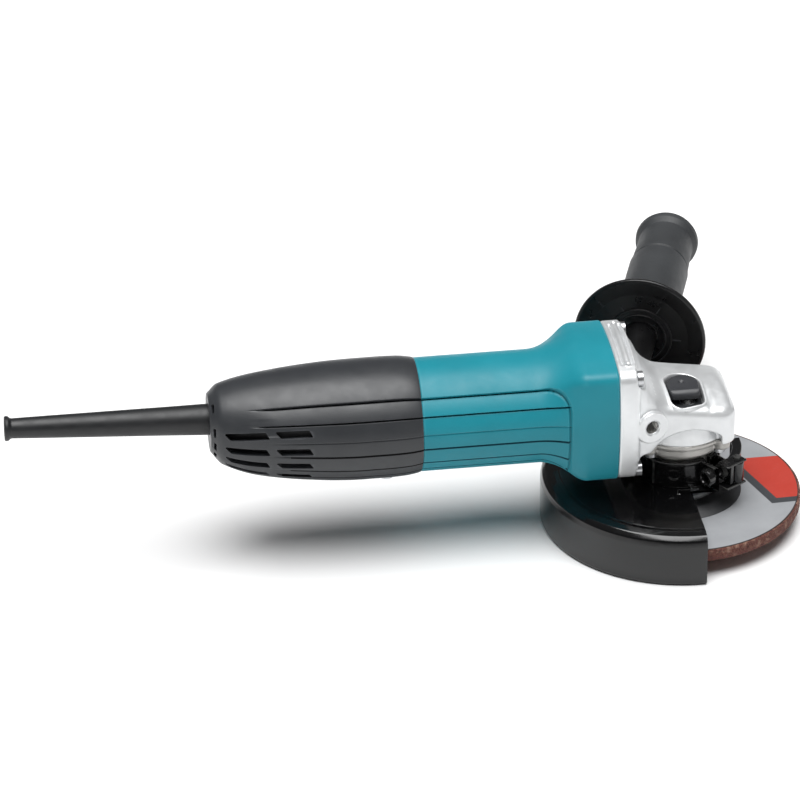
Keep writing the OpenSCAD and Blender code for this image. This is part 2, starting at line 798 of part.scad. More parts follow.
module guard_lever() {
    low = guard_top + 1.2;
    high = guard_top + 12.4;
    color("black") at_clamp() difference() {
        union() {
            translate([lever_at[0], lever_at[1], low]) cylinder(r = 3.6, h = high - low);
            translate([0, 0, low]) arc_bar(lever_at[0] - 0.6, lever_at[0] + 1.4, 22, 62, high - low);
            translate([0, 0, low]) arc_bar(lever_at[0] - 3.4, lever_at[0] + 1.4, 22, 62, 1.5);
            translate([0, 0, high - 1.5]) arc_bar(lever_at[0] - 3.4, lever_at[0] + 1.4, 22, 62, 1.5);
            translate([0, 0, low]) arc_bar(lever_at[0] - 3.4, lever_at[0] + 1.4, 60, 62, high - low);
        }
        translate([lever_at[0], lever_at[1], low - 1]) cylinder(r = lever_pin_r + 0.05, h = 20);
    }
}

// --- side handle ----------------------------------------------------------------------

module handle_grip() {
    color("black") at_boss(1) difference() {
        rotate_extrude() polygon([[0, 0.1], [8.4, 0.1], [9, 24], [11, handle_start], [22, handle_start + 1],
            [handle_disc_r - 1, handle_start - 1.2], [handle_disc_r, handle_start - 0.4],
            [handle_disc_r, handle_start + 1.4], [handle_disc_r - 1, handle_start + 2],
            [22, handle_start + 4.6], [handle_grip_r, handle_start + 6], [handle_grip_r + 0.2, 70],
            [handle_grip_r + 0.2, 104.6], [handle_grip_r - 0.8, 105], [handle_grip_r - 0.8, 106.4],
            [handle_grip_r - 0.4, 106.8], [handle_grip_r - 1.2, 134], [16.6, 137], [16.8, 139.5],
            [15.4, 142.5], [12.6, handle_end], [0, handle_end]]);
        translate([0, 0, -1]) cylinder(r = 3.9, h = 61);
    }
}

module handle_stud() {
    color("silver") at_boss(1) {
        translate([0, 0, -13]) cylinder(r = m8_minor_r, h = 13);
        cylinder(r = 3.9, h = 60);
    }
}

motor_housing();
rear_cover();
gear_housing();
bearing_box();
gear_housing_screws();
bearing_box_screws();
rear_cover_screws();
baffle_plate();
stator_core();
stator_windings();
brush_holders();
carbon_brushes();
brush_springs();
switch_body();
terminal_block();
cord_guard();
cord_clamp();
cord_clamp_screws();
pinion_bearing_outer();
rear_bearing_outer();
rear_bearing_boot();
spindle_bearing_outer();
spindle_bush();
bearing_retainer();
labyrinth_ring();
lock_seal();
handle_grip();
handle_stud();
spindle();
bevel_gear();
gear_clip();
spindle_bearing_inner();
inner_flange();
grinding_wheel();
wheel_label();
wheel_bore_ring();
lock_nut();
armature_shaft();
armature_core();
armature_windings();
commutator();
insulation_washer();
cooling_fan();
pinion();
pinion_nut();
pinion_bearing_inner();
rear_bearing_inner();
lock_button();
lock_pin();
lock_spring();
switch_button();
switch_rod();
wheel_guard();
guard_band();
clamp_screw();
clamp_nut();
lever_pin();
guard_lever();
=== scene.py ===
import json
import math

import bmesh
import bpy
import numpy as np
from mathutils import Matrix, Vector


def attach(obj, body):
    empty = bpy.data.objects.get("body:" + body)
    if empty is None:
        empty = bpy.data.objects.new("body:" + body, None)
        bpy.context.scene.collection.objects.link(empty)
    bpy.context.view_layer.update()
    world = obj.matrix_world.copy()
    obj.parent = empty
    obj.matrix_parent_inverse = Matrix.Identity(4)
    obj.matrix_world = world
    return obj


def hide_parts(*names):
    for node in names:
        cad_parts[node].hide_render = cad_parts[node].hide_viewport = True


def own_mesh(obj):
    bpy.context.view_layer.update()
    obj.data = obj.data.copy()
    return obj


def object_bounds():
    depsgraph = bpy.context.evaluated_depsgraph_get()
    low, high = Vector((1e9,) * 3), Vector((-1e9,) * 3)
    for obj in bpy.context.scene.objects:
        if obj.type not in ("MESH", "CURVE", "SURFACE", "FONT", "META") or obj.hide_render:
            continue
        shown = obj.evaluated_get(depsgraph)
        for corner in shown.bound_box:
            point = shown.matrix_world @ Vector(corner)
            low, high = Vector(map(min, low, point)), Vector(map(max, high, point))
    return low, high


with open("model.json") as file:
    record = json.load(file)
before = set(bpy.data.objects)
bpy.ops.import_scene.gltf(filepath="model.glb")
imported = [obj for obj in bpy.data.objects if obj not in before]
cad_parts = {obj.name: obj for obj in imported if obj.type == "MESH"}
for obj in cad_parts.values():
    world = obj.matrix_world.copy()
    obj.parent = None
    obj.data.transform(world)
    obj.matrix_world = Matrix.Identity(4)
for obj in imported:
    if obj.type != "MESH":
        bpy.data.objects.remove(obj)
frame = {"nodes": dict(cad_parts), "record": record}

CAD_BOUNDS = [list(corner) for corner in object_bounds()]

# Lengths below are in millimetres, in the CAD frame; pieces are scaled when they are made.
MM = 0.001
AXIS_Z = 50.0          # height of the motor axis
LEAN = 18.0            # forward lean of the side handle, degrees
BOSS = (-18.8, 31.0, 49.7)
CORD_TILT = 1.9
TAIL = (-238.5, 0.0, 56.2)
CLAMP_TURN = -57.0     # direction of the guard clamp's ears
SCREW_SPREAD = 25.5    # of the four flange screws, from the motor axis along Y and Z
LUG_SPREAD = 17.4      # of the four bearing box screws, from the spindle axis along X and Y
LEVER_PIN = (30.6, 11.6)   # place of the lever's pin in the clamp's own axes
CLAMP_SEAT = (26.8, 15.5)  # place of the clamp screw: distance from the spindle axis, and height
SEAM = -133.0          # joint of motor housing and rear cover
FLANGE_BACK, FLANGE_FRONT = -36.0, -26.0


# --- colour and shader helpers ---------------------------------------------------

def linear(red, green, blue):
    """Linear colour from 0-255 display values."""
    out = []
    for value in (red, green, blue):
        c = value / 255
        out.append(c / 12.92 if c <= 0.04045 else ((c + 0.055) / 1.055) ** 2.4)
    return tuple(out)


def tint(colour, factor):
    return tuple(min(1.0, max(0.0, c * factor)) for c in colour) + (1.0,)


def fill_ramp(node, stops):
    """Sets a colour ramp's stops, each (place, colour)."""
    elements = node.color_ramp.elements
    while len(elements) < len(stops):
        elements.new(0.5)
    for element, (place, colour) in zip(elements, stops):
        element.position = place
        element.color = colour


class Shader:
    """One Principled material with the nodes that feed it."""

    def __init__(self, name):
        self.material = bpy.data.materials.new(name)
        self.material.use_nodes = True
        self.tree = self.material.node_tree
        self.main = self.tree.nodes["Principled BSDF"]
        self.place = self.add("ShaderNodeTexCoord").outputs["Object"]

    def add(self, kind, links=None, **settings):
        node = self.tree.nodes.new(kind)
        for key, value in settings.items():
            setattr(node, key, value)
        for key, value in (links or {}).items():
            socket = node.inputs[key]
            if isinstance(value, bpy.types.NodeSocket):
                self.tree.links.new(value, socket)
            else:
                socket.default_value = value
        return node

    def noise(self, scale, detail=3.0, rough=0.55, stretch=None):
        place = self.place
        if stretch:
            place = self.add("ShaderNodeMapping", {"Vector": place, "Scale": stretch}).outputs[0]
        links = {"Vector": place, "Scale": scale, "Detail": detail, "Roughness": rough}
        return self.add("ShaderNodeTexNoise", links).outputs["Fac"]

    def remap(self, value, low, high, to_low, to_high):
        links = {"Value": value, "From Min": low, "From Max": high, "To Min": to_low, "To Max": to_high}
        return self.add("ShaderNodeMapRange", links).outputs["Result"]

    def ramp(self, value, stops):
        node = self.add("ShaderNodeValToRGB", {"Fac": value})
        fill_ramp(node, stops)
        return node.outputs["Color"]

    def mix(self, factor, first, second):
        node = self.add("ShaderNodeMix", data_type="RGBA")
        for socket, value in ((node.inputs[0], factor), (node.inputs[6], first), (node.inputs[7], second)):
            if isinstance(value, bpy.types.NodeSocket):
                self.tree.links.new(value, socket)
            else:
                socket.default_value = value
        return node.outputs[2]

    def math(self, operation, first, second=None):
        node = self.add("ShaderNodeMath", operation=operation)
        for socket, value in zip(node.inputs, (first, second)):
            if isinstance(value, bpy.types.NodeSocket):
                self.tree.links.new(value, socket)
            elif value is not None:
                socket.default_value = value
        return node.outputs[0]

    def feed(self, **values):
        for key, value in values.items():
            socket = self.main.inputs[key.replace("_", " ")]
            if isinstance(value, bpy.types.NodeSocket):
                self.tree.links.new(value, socket)
            else:
                socket.default_value = value

    def bump(self, layers):
        """Stacks bumps; each layer is (height, strength, distance in mm)."""
        normal = None
        for height, strength, distance in layers:
            links = {"Height": height, "Strength": strength, "Distance": distance * MM}
            if normal is not None:
                links["Normal"] = normal
            normal = self.add("ShaderNodeBump", links).outputs["Normal"]
        self.feed(Normal=normal)


def surface(name, colour, rough, metal=0.0, spread=0.1, grain=1400, relief=0.25, depth=0.08,
            wear=0.0, wear_colour=None, coat=0.0, scratch=0.0, spec=0.5, dip_shade=0.0):
    """General finish: mottled colour, uneven gloss, fine grain, rubbed edges, painted shade in dips, light
    scratches.
    """
    s = Shader(name)
    broad = s.noise(38, 4)
    base = s.ramp(broad, [(0.3, tint(colour, 1 - spread)), (0.7, tint(colour, 1 + spread))])
    if wear:
        edge = s.remap(s.add("ShaderNodeNewGeometry").outputs["Pointiness"], 0.51, 0.57, 0.0, wear)
        patchy = s.math("MULTIPLY", edge, s.remap(s.noise(160, 3), 0.35, 0.65, 0.2, 1.0))
        base = s.mix(patchy, base, tint(wear_colour or colour, 1.0 if wear_colour else 1.6))
    # painted shade: concave places (low pointiness) are darkened towards a quarter of the colour
    if dip_shade:
        dip = s.remap(s.add("ShaderNodeNewGeometry").outputs["Pointiness"], 0.44, 0.485, dip_shade, 0.0)
        base = s.mix(dip, base, tint(colour, 0.25))
    gloss = s.remap(s.noise(120, 4), 0.3, 0.7, max(rough - 0.05, 0.02), min(rough + 0.07, 1.0))
    layers = [(s.noise(grain, 2), relief, depth)]
    if scratch:
        lines = s.noise(420, 2, 0.6, stretch=(0.08, 1.0, 1.0))
        layers.append((lines, scratch, 0.03))
        gloss = s.math("ADD", gloss, s.remap(lines, 0.45, 0.75, 0.0, 0.08))
    s.feed(Base_Color=base, Roughness=gloss, Metallic=metal, Coat_Weight=coat, Coat_Roughness=0.12)
    s.feed(Specular_IOR_Level=spec)
    s.bump(layers)
    return s.material


def cast_metal(name, colour, rough, grain):
    """Cast or shot-blasted metal: two sizes of grain, bright rubbed edges, painted shade in dips."""
    s = Shader(name)
    pointy = s.add("ShaderNodeNewGeometry").outputs["Pointiness"]
    base = s.ramp(s.noise(55, 5), [(0.3, tint(colour, 0.93)), (0.7, tint(colour, 1.05))])
    # painted shade: concave places are darkened towards 0.62 of the colour
    base = s.mix(s.remap(pointy, 0.42, 0.49, 0.3, 0.0), base, tint(colour, 0.62))
    base = s.mix(s.remap(pointy, 0.51, 0.56, 0.0, 0.6), base, tint(colour, 1.3))
    s.feed(Base_Color=base, Metallic=0.6)
    s.feed(Roughness=s.remap(s.noise(200, 4), 0.3, 0.7, rough - 0.05, rough + 0.08))
    s.bump([(s.noise(grain, 3), 0.3, 0.09), (s.noise(grain / 5, 2), 0.12, 0.15)])
    return s.material


def stacked(name, colour, pitch, direction):
    """Fine parallel layers: laminations and wound wire."""
    s = Shader(name)
    wave = s.add("ShaderNodeTexWave", {"Vector": s.place, "Scale": 1 / (2 * pitch * MM), "Distortion": 0.3,
                                       "Detail": 1.0}, bands_direction=direction)
    lines = wave.outputs["Fac"]
    base = s.ramp(lines, [(0.1, tint(colour, 0.5)), (0.6, tint(colour, 1.08))])
    s.feed(Base_Color=base, Metallic=0.8, Roughness=s.remap(s.noise(150), 0.3, 0.7, 0.32, 0.5))
    s.bump([(lines, 0.5, 0.12)])
    return s.material


def wheel_grit():
    s = Shader("abrasive_edge")
    grains = s.add("ShaderNodeTexVoronoi", {"Vector": s.place, "Scale": 2300.0}).outputs["Distance"]
    base = s.ramp(grains, [(0.0, tint(linear(150, 102, 88), 1.0)), (0.35, tint(linear(112, 66, 56), 1.0)),
                           (0.8, tint(linear(56, 32, 29), 1.0))])
    base = s.mix(s.remap(s.noise(300), 0.5, 0.75, 0.0, 0.5), base, tint(linear(196, 160, 136), 1.0))
    s.feed(Base_Color=base, Roughness=0.92)
    s.bump([(grains, 0.9, 0.45)])
    return s.material


def wheel_print():
    """Printed wheel label: silver-grey ground, a red panel, a dark stripe on two of its sides."""
    s = Shader("label_print")
    split = s.add("ShaderNodeSeparateXYZ", {"Vector": s.place})
    x, y = split.outputs[0], split.outputs[1]

    def beyond(a, b, c):
        """1 where a*x + b*y exceeds c (mm), with a soft printed edge."""
        total = s.math("ADD", s.math("MULTIPLY", x, a / MM), s.math("MULTIPLY", y, b / MM))
        return s.remap(total, c - 0.12, c + 0.12, 0.0, 1.0)

    def line_past(first, second, shift=0.0):
        """Half plane to the right of the line from first to second, moved outwards by shift."""
        dx, dy = second[0] - first[0], second[1] - first[1]
        length = math.hypot(dx, dy)
        nx, ny = dy / length, -dx / length
        return beyond(nx, ny, nx * first[0] + ny * first[1] - shift)

    corner_a, corner_b = PRINT_CORNERS["upper_left"], PRINT_CORNERS["lower_left"]
    corner_c = PRINT_CORNERS["lower_right"]
    left, low = line_past(corner_b, corner_a), line_past(corner_c, corner_b)
    top = beyond(0.0, -1.0, -corner_a[1])
    red = s.math("MULTIPLY", s.math("MULTIPLY", left, low), top)
    left_out = line_past(corner_b, corner_a, STRIPE_WIDTH)
    low_out = line_past(corner_c, corner_b, STRIPE_WIDTH)
    dark = s.math("MULTIPLY", s.math("MULTIPLY", left_out, low_out), top)
    greys = (linear(142, 144, 147), linear(152, 154, 157))
    ground = s.ramp(s.noise(60, 4), [(0.3, tint(greys[0], 1.0)), (0.7, tint(greys[1], 1.0))])
    shade = s.mix(dark, ground, tint(linear(58, 60, 63), 1.0))
    shade = s.mix(red, shade, tint(linear(172, 56, 44), 1.0))
    radius = s.add("ShaderNodeVectorMath", {0: s.place}, operation="LENGTH").outputs["Value"]
    rim = s.remap(radius, 61.0 * MM, 61.2 * MM, 0.0, 1.0)
    shade = s.mix(rim, shade, tint(linear(52, 46, 44), 1.0))
    scuffs = s.remap(s.noise(500, 4, 0.7, stretch=(1.0, 0.25, 1.0)), 0.66, 0.74, 0.0, 0.25)
    shade = s.mix(scuffs, shade, tint(linear(150, 150, 150), 1.0))
    s.feed(Base_Color=shade, Roughness=s.remap(s.noise(90), 0.3, 0.7, 0.36, 0.5))
    s.bump([(s.noise(900, 3), 0.2, 0.05)])
    return s.material


PRINT_CORNERS = {"upper_left": (33.8, 22.8), "lower_left": (47.7, -18.1), "lower_right": (59.4, -17.7)}
STRIPE_WIDTH = 4.6

BLUE = tint(linear(28, 134, 149), 0.94)[:3]
CHARCOAL = linear(46, 48, 51)
ALLOY = linear(226, 228, 229)

MATERIALS = {
    # blue_housing and charcoal_plastic carry painted shade in their dips
    "blue_housing": surface("blue_housing", BLUE, 0.42, spread=0.05, grain=2300, relief=0.3, depth=0.06,
                            wear=0.35, wear_colour=linear(120, 190, 200), spec=0.3, dip_shade=0.85),
    "charcoal_plastic": surface("charcoal_plastic", CHARCOAL, 0.40, spread=0.08, grain=2000, relief=0.4,
                                depth=0.07, wear=0.4, wear_colour=linear(110, 112, 116), dip_shade=0.8),
    # painted shadow: dark versions of the teal and charcoal finishes for the faces under the grip lines
    "blue_groove_shadow": surface("blue_groove_shadow", linear(14, 70, 82), 0.6, spec=0.2),
    "charcoal_groove_shadow": surface("charcoal_groove_shadow", linear(14, 14, 16), 0.6, spec=0.2),
    "cast_aluminium": cast_metal("cast_aluminium", ALLOY, 0.40, 1500),
    "turned_aluminium": cast_metal("turned_aluminium", linear(176, 174, 170), 0.34, 900),
    "steel": surface("steel", linear(170, 172, 174), 0.3, 1.0, scratch=0.3, wear=0.4,
                     wear_colour=linear(225, 226, 228)),
    "bearing_steel": surface("bearing_steel", linear(190, 192, 195), 0.18, 1.0, scratch=0.2),
    "gear_steel": surface("gear_steel", linear(138, 136, 132), 0.34, 1.0, scratch=0.35, wear=0.5,
                          wear_colour=linear(205, 204, 200)),
    "black_plastic": surface("black_plastic", linear(30, 31, 33), 0.42, relief=0.3, wear=0.3,
                             wear_colour=linear(74, 75, 78)),
    "pale_plastic": surface("pale_plastic", linear(206, 200, 184), 0.5),
    "laminations": stacked("laminations", linear(120, 122, 126), 0.5, "X"),
    "copper_wire": stacked("copper_wire", linear(176, 92, 48), 0.55, "DIAGONAL"),
    "copper_bars": surface("copper_bars", linear(190, 112, 70), 0.28, 1.0, scratch=0.5),
    "brass": surface("brass", linear(190, 156, 84), 0.3, 1.0, scratch=0.3),
    "carbon": surface("carbon", linear(34, 34, 36), 0.6, relief=0.5),
    "black_rubber": surface("black_rubber", linear(24, 25, 27), 0.46, spread=0.15, grain=1500, relief=0.3,
                            wear=0.35, wear_colour=linear(64, 66, 70)),
    "handle_plastic": surface("handle_plastic", linear(14, 14, 15), 0.3, spread=0.12, grain=1700, relief=0.45,
                              depth=0.08, wear=0.4, wear_colour=linear(82, 84, 88)),
    "grip_rubber": surface("grip_rubber", linear(50, 52, 54), 0.55, spread=0.18, grain=1100, relief=0.6,
                           depth=0.14, wear=0.3, wear_colour=linear(96, 98, 102)),
    "button_plastic": surface("button_plastic", linear(50, 51, 54), 0.42, relief=0.3, wear=0.5,
                              wear_colour=linear(120, 122, 124)),
    "abrasive": wheel_grit(),
    "label_paper": wheel_print(),
    "guard_paint": surface("guard_paint", linear(8, 8, 9), 0.13, spread=0.2, grain=260, relief=0.08,
                           depth=0.1, wear=0.25, wear_colour=linear(70, 72, 74), coat=0.15, spec=0.45),
    "black_steel": surface("black_steel", linear(18, 18, 19), 0.16, 0.2, spread=0.2, grain=700, relief=0.2,
                           wear=0.55, wear_colour=linear(120, 120, 118), coat=0.3),
    "wheel_centre": surface("wheel_centre", linear(44, 45, 47), 0.45, spread=0.12, grain=900, relief=0.3),
}
SLOT_OF = {part["node"]: part["material_slot"] for part in frame["record"]["subparts"]}


# --- mesh helpers ----------------------------------------------------------------

def mesh_from(name, points, faces):
    mesh = bpy.data.meshes.new(name)
    points = np.asarray(points, dtype=np.float64) * MM
    faces = np.asarray(faces, dtype=np.int32)
    mesh.vertices.add(len(points))
    mesh.vertices.foreach_set("co", points.ravel())
    mesh.loops.add(faces.size)
    mesh.loops.foreach_set("vertex_index", faces.ravel())
    mesh.polygons.add(len(faces))
    mesh.polygons.foreach_set("loop_start", np.arange(len(faces), dtype=np.int32) * faces.shape[1])
    mesh.update(calc_edges=True)
    work = bmesh.new()
    work.from_mesh(mesh)
    bmesh.ops.remove_doubles(work, verts=work.verts, dist=0.002 * MM)
    bmesh.ops.recalc_face_normals(work, faces=work.faces)
    work.to_mesh(mesh)
    work.free()
    return mesh


def shade(mesh, crease):
    mesh.polygons.foreach_set("use_smooth", np.ones(len(mesh.polygons), dtype=bool))
    mesh.set_sharp_from_angle(angle=math.radians(crease))
    mesh.update()


def piece(name, mesh, body, slot, replaced=(), crease=35, look=None):
    """Makes one visible object from a mesh, attached to its body, with its finish; the CAD parts it replaces are
    hidden.
    """
    shade(mesh, crease)
    made = bpy.data.objects.new(name, mesh)
    bpy.context.scene.collection.objects.link(made)
    mesh.materials.clear()
    mesh.materials.append(look or MATERIALS[slot])
    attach(made, body)
    if replaced:
        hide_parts(*replaced)
    return made


def loft(rings):
    """Mesh of a tube whose rings close round and whose last ring joins the first."""
    count, around = rings.shape[:2]
    i, j = np.meshgrid(np.arange(count), np.arange(around), indexing="ij")
    k, m = (i + 1) % count, (j + 1) % around
    faces = np.stack([i * around + j, i * around + m, k * around + m, k * around + j], -1)
    return rings.reshape(-1, 3), faces.reshape(-1, 4)


def rounded(corners, steps=6):
    """Closed outline from corners (a, b) or (a, b, radius)."""
    out = []
    count = len(corners)
    for i, corner in enumerate(corners):
        here = np.array(corner[:2], dtype=float)
        radius = corner[2] if len(corner) > 2 else 0.0
        if radius <= 0:
            out.append(here)
            continue
        back = np.array(corners[i - 1][:2], dtype=float) - here
        ahead = np.array(corners[(i + 1) % count][:2], dtype=float) - here
        len_back, len_ahead = np.linalg.norm(back), np.linalg.norm(ahead)
        back, ahead = back / len_back, ahead / len_ahead
        half = 0.5 * math.acos(float(np.clip(back @ ahead, -0.9999, 0.9999)))
        cut = min(radius / math.tan(half), 0.49 * len_back, 0.49 * len_ahead)
        radius = cut * math.tan(half)
        bisector = (back + ahead) / np.linalg.norm(back + ahead)
        centre = here + bisector * radius / math.sin(half)
        first, last = here + back * cut - centre, here + ahead * cut - centre
        start = math.atan2(first[1], first[0])
        sweep = math.atan2(last[1], last[0]) - start
        sweep = (sweep + math.pi) % (2 * math.pi) - math.pi
        for t in np.linspace(0, 1, steps):
            angle = start + sweep * t
            out.append(centre + radius * np.array([math.cos(angle), math.sin(angle)]))
    return np.array(out)


def basis(axis):
    w = np.array(axis, dtype=float)
    w /= np.linalg.norm(w)
    side = np.array([0.0, 0.0, 1.0]) if abs(w[2]) < 0.9 else np.array([1.0, 0.0, 0.0])
    u = np.cross(side, w)
    u /= np.linalg.norm(u)
    return u, np.cross(w, u), w


def turned(name, outline, origin=(0, 0, 0), axis=(0, 0, 1), steps=144):
    """Solid of revolution; outline is a closed run of (radius, distance along the axis)."""
    u, v, w = basis(axis)
    angle = np.linspace(0, 2 * math.pi, steps, endpoint=False)
    outline = np.asarray(outline)
    spoke = np.cos(angle)[:, None] * u + np.sin(angle)[:, None] * v
    rings = (np.array(origin) + outline[:, 1][:, None, None] * w
             + outline[:, 0][:, None, None] * spoke[None])
    return mesh_from(name, *loft(rings))


def lean_axis(side=1):
    """Unit vector out of a handle boss, a little forward of square; side is the sign of Y."""
    return np.array([math.sin(math.radians(LEAN)), side * math.cos(math.radians(LEAN)), 0.0])


def helix(name, origin, axis, turns, pitch, section, count, start=0.0):
    """Thread or coil about an axis; section is a closed run of (radius, distance along the axis)."""
    u, v, w = basis(axis)
    t = np.linspace(0, turns, count)
    angle = 2 * math.pi * t + start
    spine = np.array(origin) + pitch * t[:, None] * w
    spoke = np.cos(angle)[:, None] * u + np.sin(angle)[:, None] * v
    rings = np.stack([spine + spoke * r + w * s for r, s in section], 1)
    n = len(section)
    faces = [[i * n + j, (i + 1) * n + j, (i + 1) * n + (j + 1) % n, i * n + (j + 1) % n]
             for i in range(count - 1) for j in range(n)]
    for end in (0, (count - 1) * n):
        faces += [[end, end + j, end + j + 1, end + j + 2] for j in range(1, n - 2, 2)]
    return mesh_from(name, rings.reshape(-1, 3), faces)


def prism(name, outline, origin, along, across, depth):
    """Solid from a closed 2-D outline, pushed along its own normal; all in mm."""
    along, across = np.array(along, float), np.array(across, float)
    normal = np.cross(along, across)
    base = np.array(origin, float) + outline[:, :1] * along + outline[:, 1:] * across
    work = bmesh.new()
    low = [work.verts.new(p * MM) for p in base]
    high = [work.verts.new((p + normal * depth) * MM) for p in base]
    work.faces.new(low[::-1])
    work.faces.new(high)
    for i in range(len(low)):
        j = (i + 1) % len(low)
        work.faces.new([low[i], low[j], high[j], high[i]])
    bmesh.ops.recalc_face_normals(work, faces=work.faces)
    mesh = bpy.data.meshes.new(name)
    work.to_mesh(mesh)
    work.free()
    return mesh


def joined(meshes):
    """One mesh from several."""
    work = bmesh.new()
    for mesh in meshes:
        work.from_mesh(mesh)
    out = bpy.data.meshes.new("joined")
    work.to_mesh(out)
    work.free()
    return out


def combine(mesh, cutters, operation="DIFFERENCE"):
    """Cuts the cutters out of a mesh (or adds or keeps them) and returns the new mesh."""
    objects = []
    for part in (mesh, joined(cutters)):
        made = bpy.data.objects.new("work", part)
        bpy.context.scene.collection.objects.link(made)
        objects.append(made)
    modifier = objects[0].modifiers.new("cut", "BOOLEAN")
    modifier.object = objects[1]
    modifier.operation = operation
    modifier.solver = "MANIFOLD"
    graph = bpy.context.evaluated_depsgraph_get()
    result = bpy.data.meshes.new_from_object(objects[0].evaluated_get(graph))
    for made in objects:
        bpy.data.objects.remove(made)
    return result


def curve_through(points, x):
    """Smooth monotone curve through points, read at x."""
    px = np.array([p[0] for p in points], dtype=float)
    py = np.array([p[1] for p in points], dtype=float)
    slope = np.diff(py) / np.diff(px)
    tangent = np.zeros(len(px))
    tangent[0], tangent[-1] = slope[0], slope[-1]
    for i in range(1, len(px) - 1):
        if slope[i - 1] * slope[i] > 0:
            tangent[i] = 2 * slope[i - 1] * slope[i] / (slope[i - 1] + slope[i])
    x = np.clip(x, px[0], px[-1])
    i = np.clip(np.searchsorted(px, x) - 1, 0, len(px) - 2)
    h = px[i + 1] - px[i]
    t = (x - px[i]) / h
    return ((2 * t**3 - 3 * t**2 + 1) * py[i] + (t**3 - 2 * t**2 + t) * h * tangent[i]
            + (-2 * t**3 + 3 * t**2) * py[i + 1] + (t**3 - t**2) * h * tangent[i + 1])


# --- distance fields: negative inside, in mm --------------------------------------

def soft_min(a, b, k):
    h = np.clip(0.5 + 0.5 * (b - a) / k, 0, 1)
    return b * (1 - h) + a * h - k * h * (1 - h)


def soft_max(a, b, k):
    return -soft_min(-a, -b, k)


def step_up(value, low, high):
    t = np.clip((value - low) / (high - low), 0, 1)
    return t * t * (3 - 2 * t)


def rod(p, origin, axis, radius, low, high, soft=0.5):
    """Cylinder along an axis between two distances from its origin."""
    w = np.array(axis, dtype=float)
    w /= np.linalg.norm(w)
    d = [c - o for c, o in zip(p, origin)]
    s = sum(c * a for c, a in zip(d, w))
    r = np.sqrt(np.maximum(sum(c * c for c in d) - s * s, 0))
    return soft_max(r - radius, np.maximum(low - s, s - high), soft)


def block(p, low, high, radius=0.4):
    """Box with round edges between two corners."""
    q = [np.abs(c - (a + b) / 2) - (b - a) / 2 + radius for c, a, b in zip(p, low, high)]
    outside = np.sqrt(sum(np.maximum(c, 0) ** 2 for c in q))
    return outside + np.minimum(np.maximum(np.maximum(q[0], q[1]), q[2]), 0) - radius


def tube(p, inner, outer, low, high, radius=0.3):
    """Ring round the spindle axis with round edges."""
    r = np.hypot(p[0], p[1])
    q = (np.abs(r - (inner + outer) / 2) - (outer - inner) / 2 + radius,
         np.abs(p[2] - (low + high) / 2) - (high - low) / 2 + radius)
    return np.hypot(np.maximum(q[0], 0), np.maximum(q[1], 0)) + np.minimum(np.maximum(q[0], q[1]), 0) - radius


def turn_about_z(p, degrees):
    """Coordinates in axes turned about Z by the given angle."""
    c, s = math.cos(math.radians(degrees)), math.sin(math.radians(degrees))
    return p[0] * c + p[1] * s, -p[0] * s + p[1] * c, p[2]


def hull_outline(circles):
    """Distance from a point of the plan to the convex outline round several circles, as a function."""
    turn = np.linspace(0, 2 * math.pi, 240, endpoint=False)
    ways = np.stack([np.cos(turn), np.sin(turn)])
    reach = np.max([cx * ways[0] + cy * ways[1] + radius for cx, cy, radius in circles], axis=0)
    pitch, low = 0.1, (-40.0, -40.0)
    grid = np.arange(0, 800) * pitch
    table = np.full((800, 800), -1e9)
    for way, limit in zip(ways.T, reach):
        lines = (grid + low[0])[:, None] * way[0] + (grid + low[1])[None] * way[1] - limit
        np.maximum(table, lines, out=table)

    def distance(x, y):
        u = np.clip((x - low[0]) / pitch, 0, 798.9)
        v = np.clip((y - low[1]) / pitch, 0, 798.9)
        i, j = u.astype(int), v.astype(int)
        u, v = u - i, v - j
        return ((table[i, j] * (1 - u) + table[i + 1, j] * u) * (1 - v)
                + (table[i, j + 1] * (1 - u) + table[i + 1, j + 1] * u) * v)

    return distance


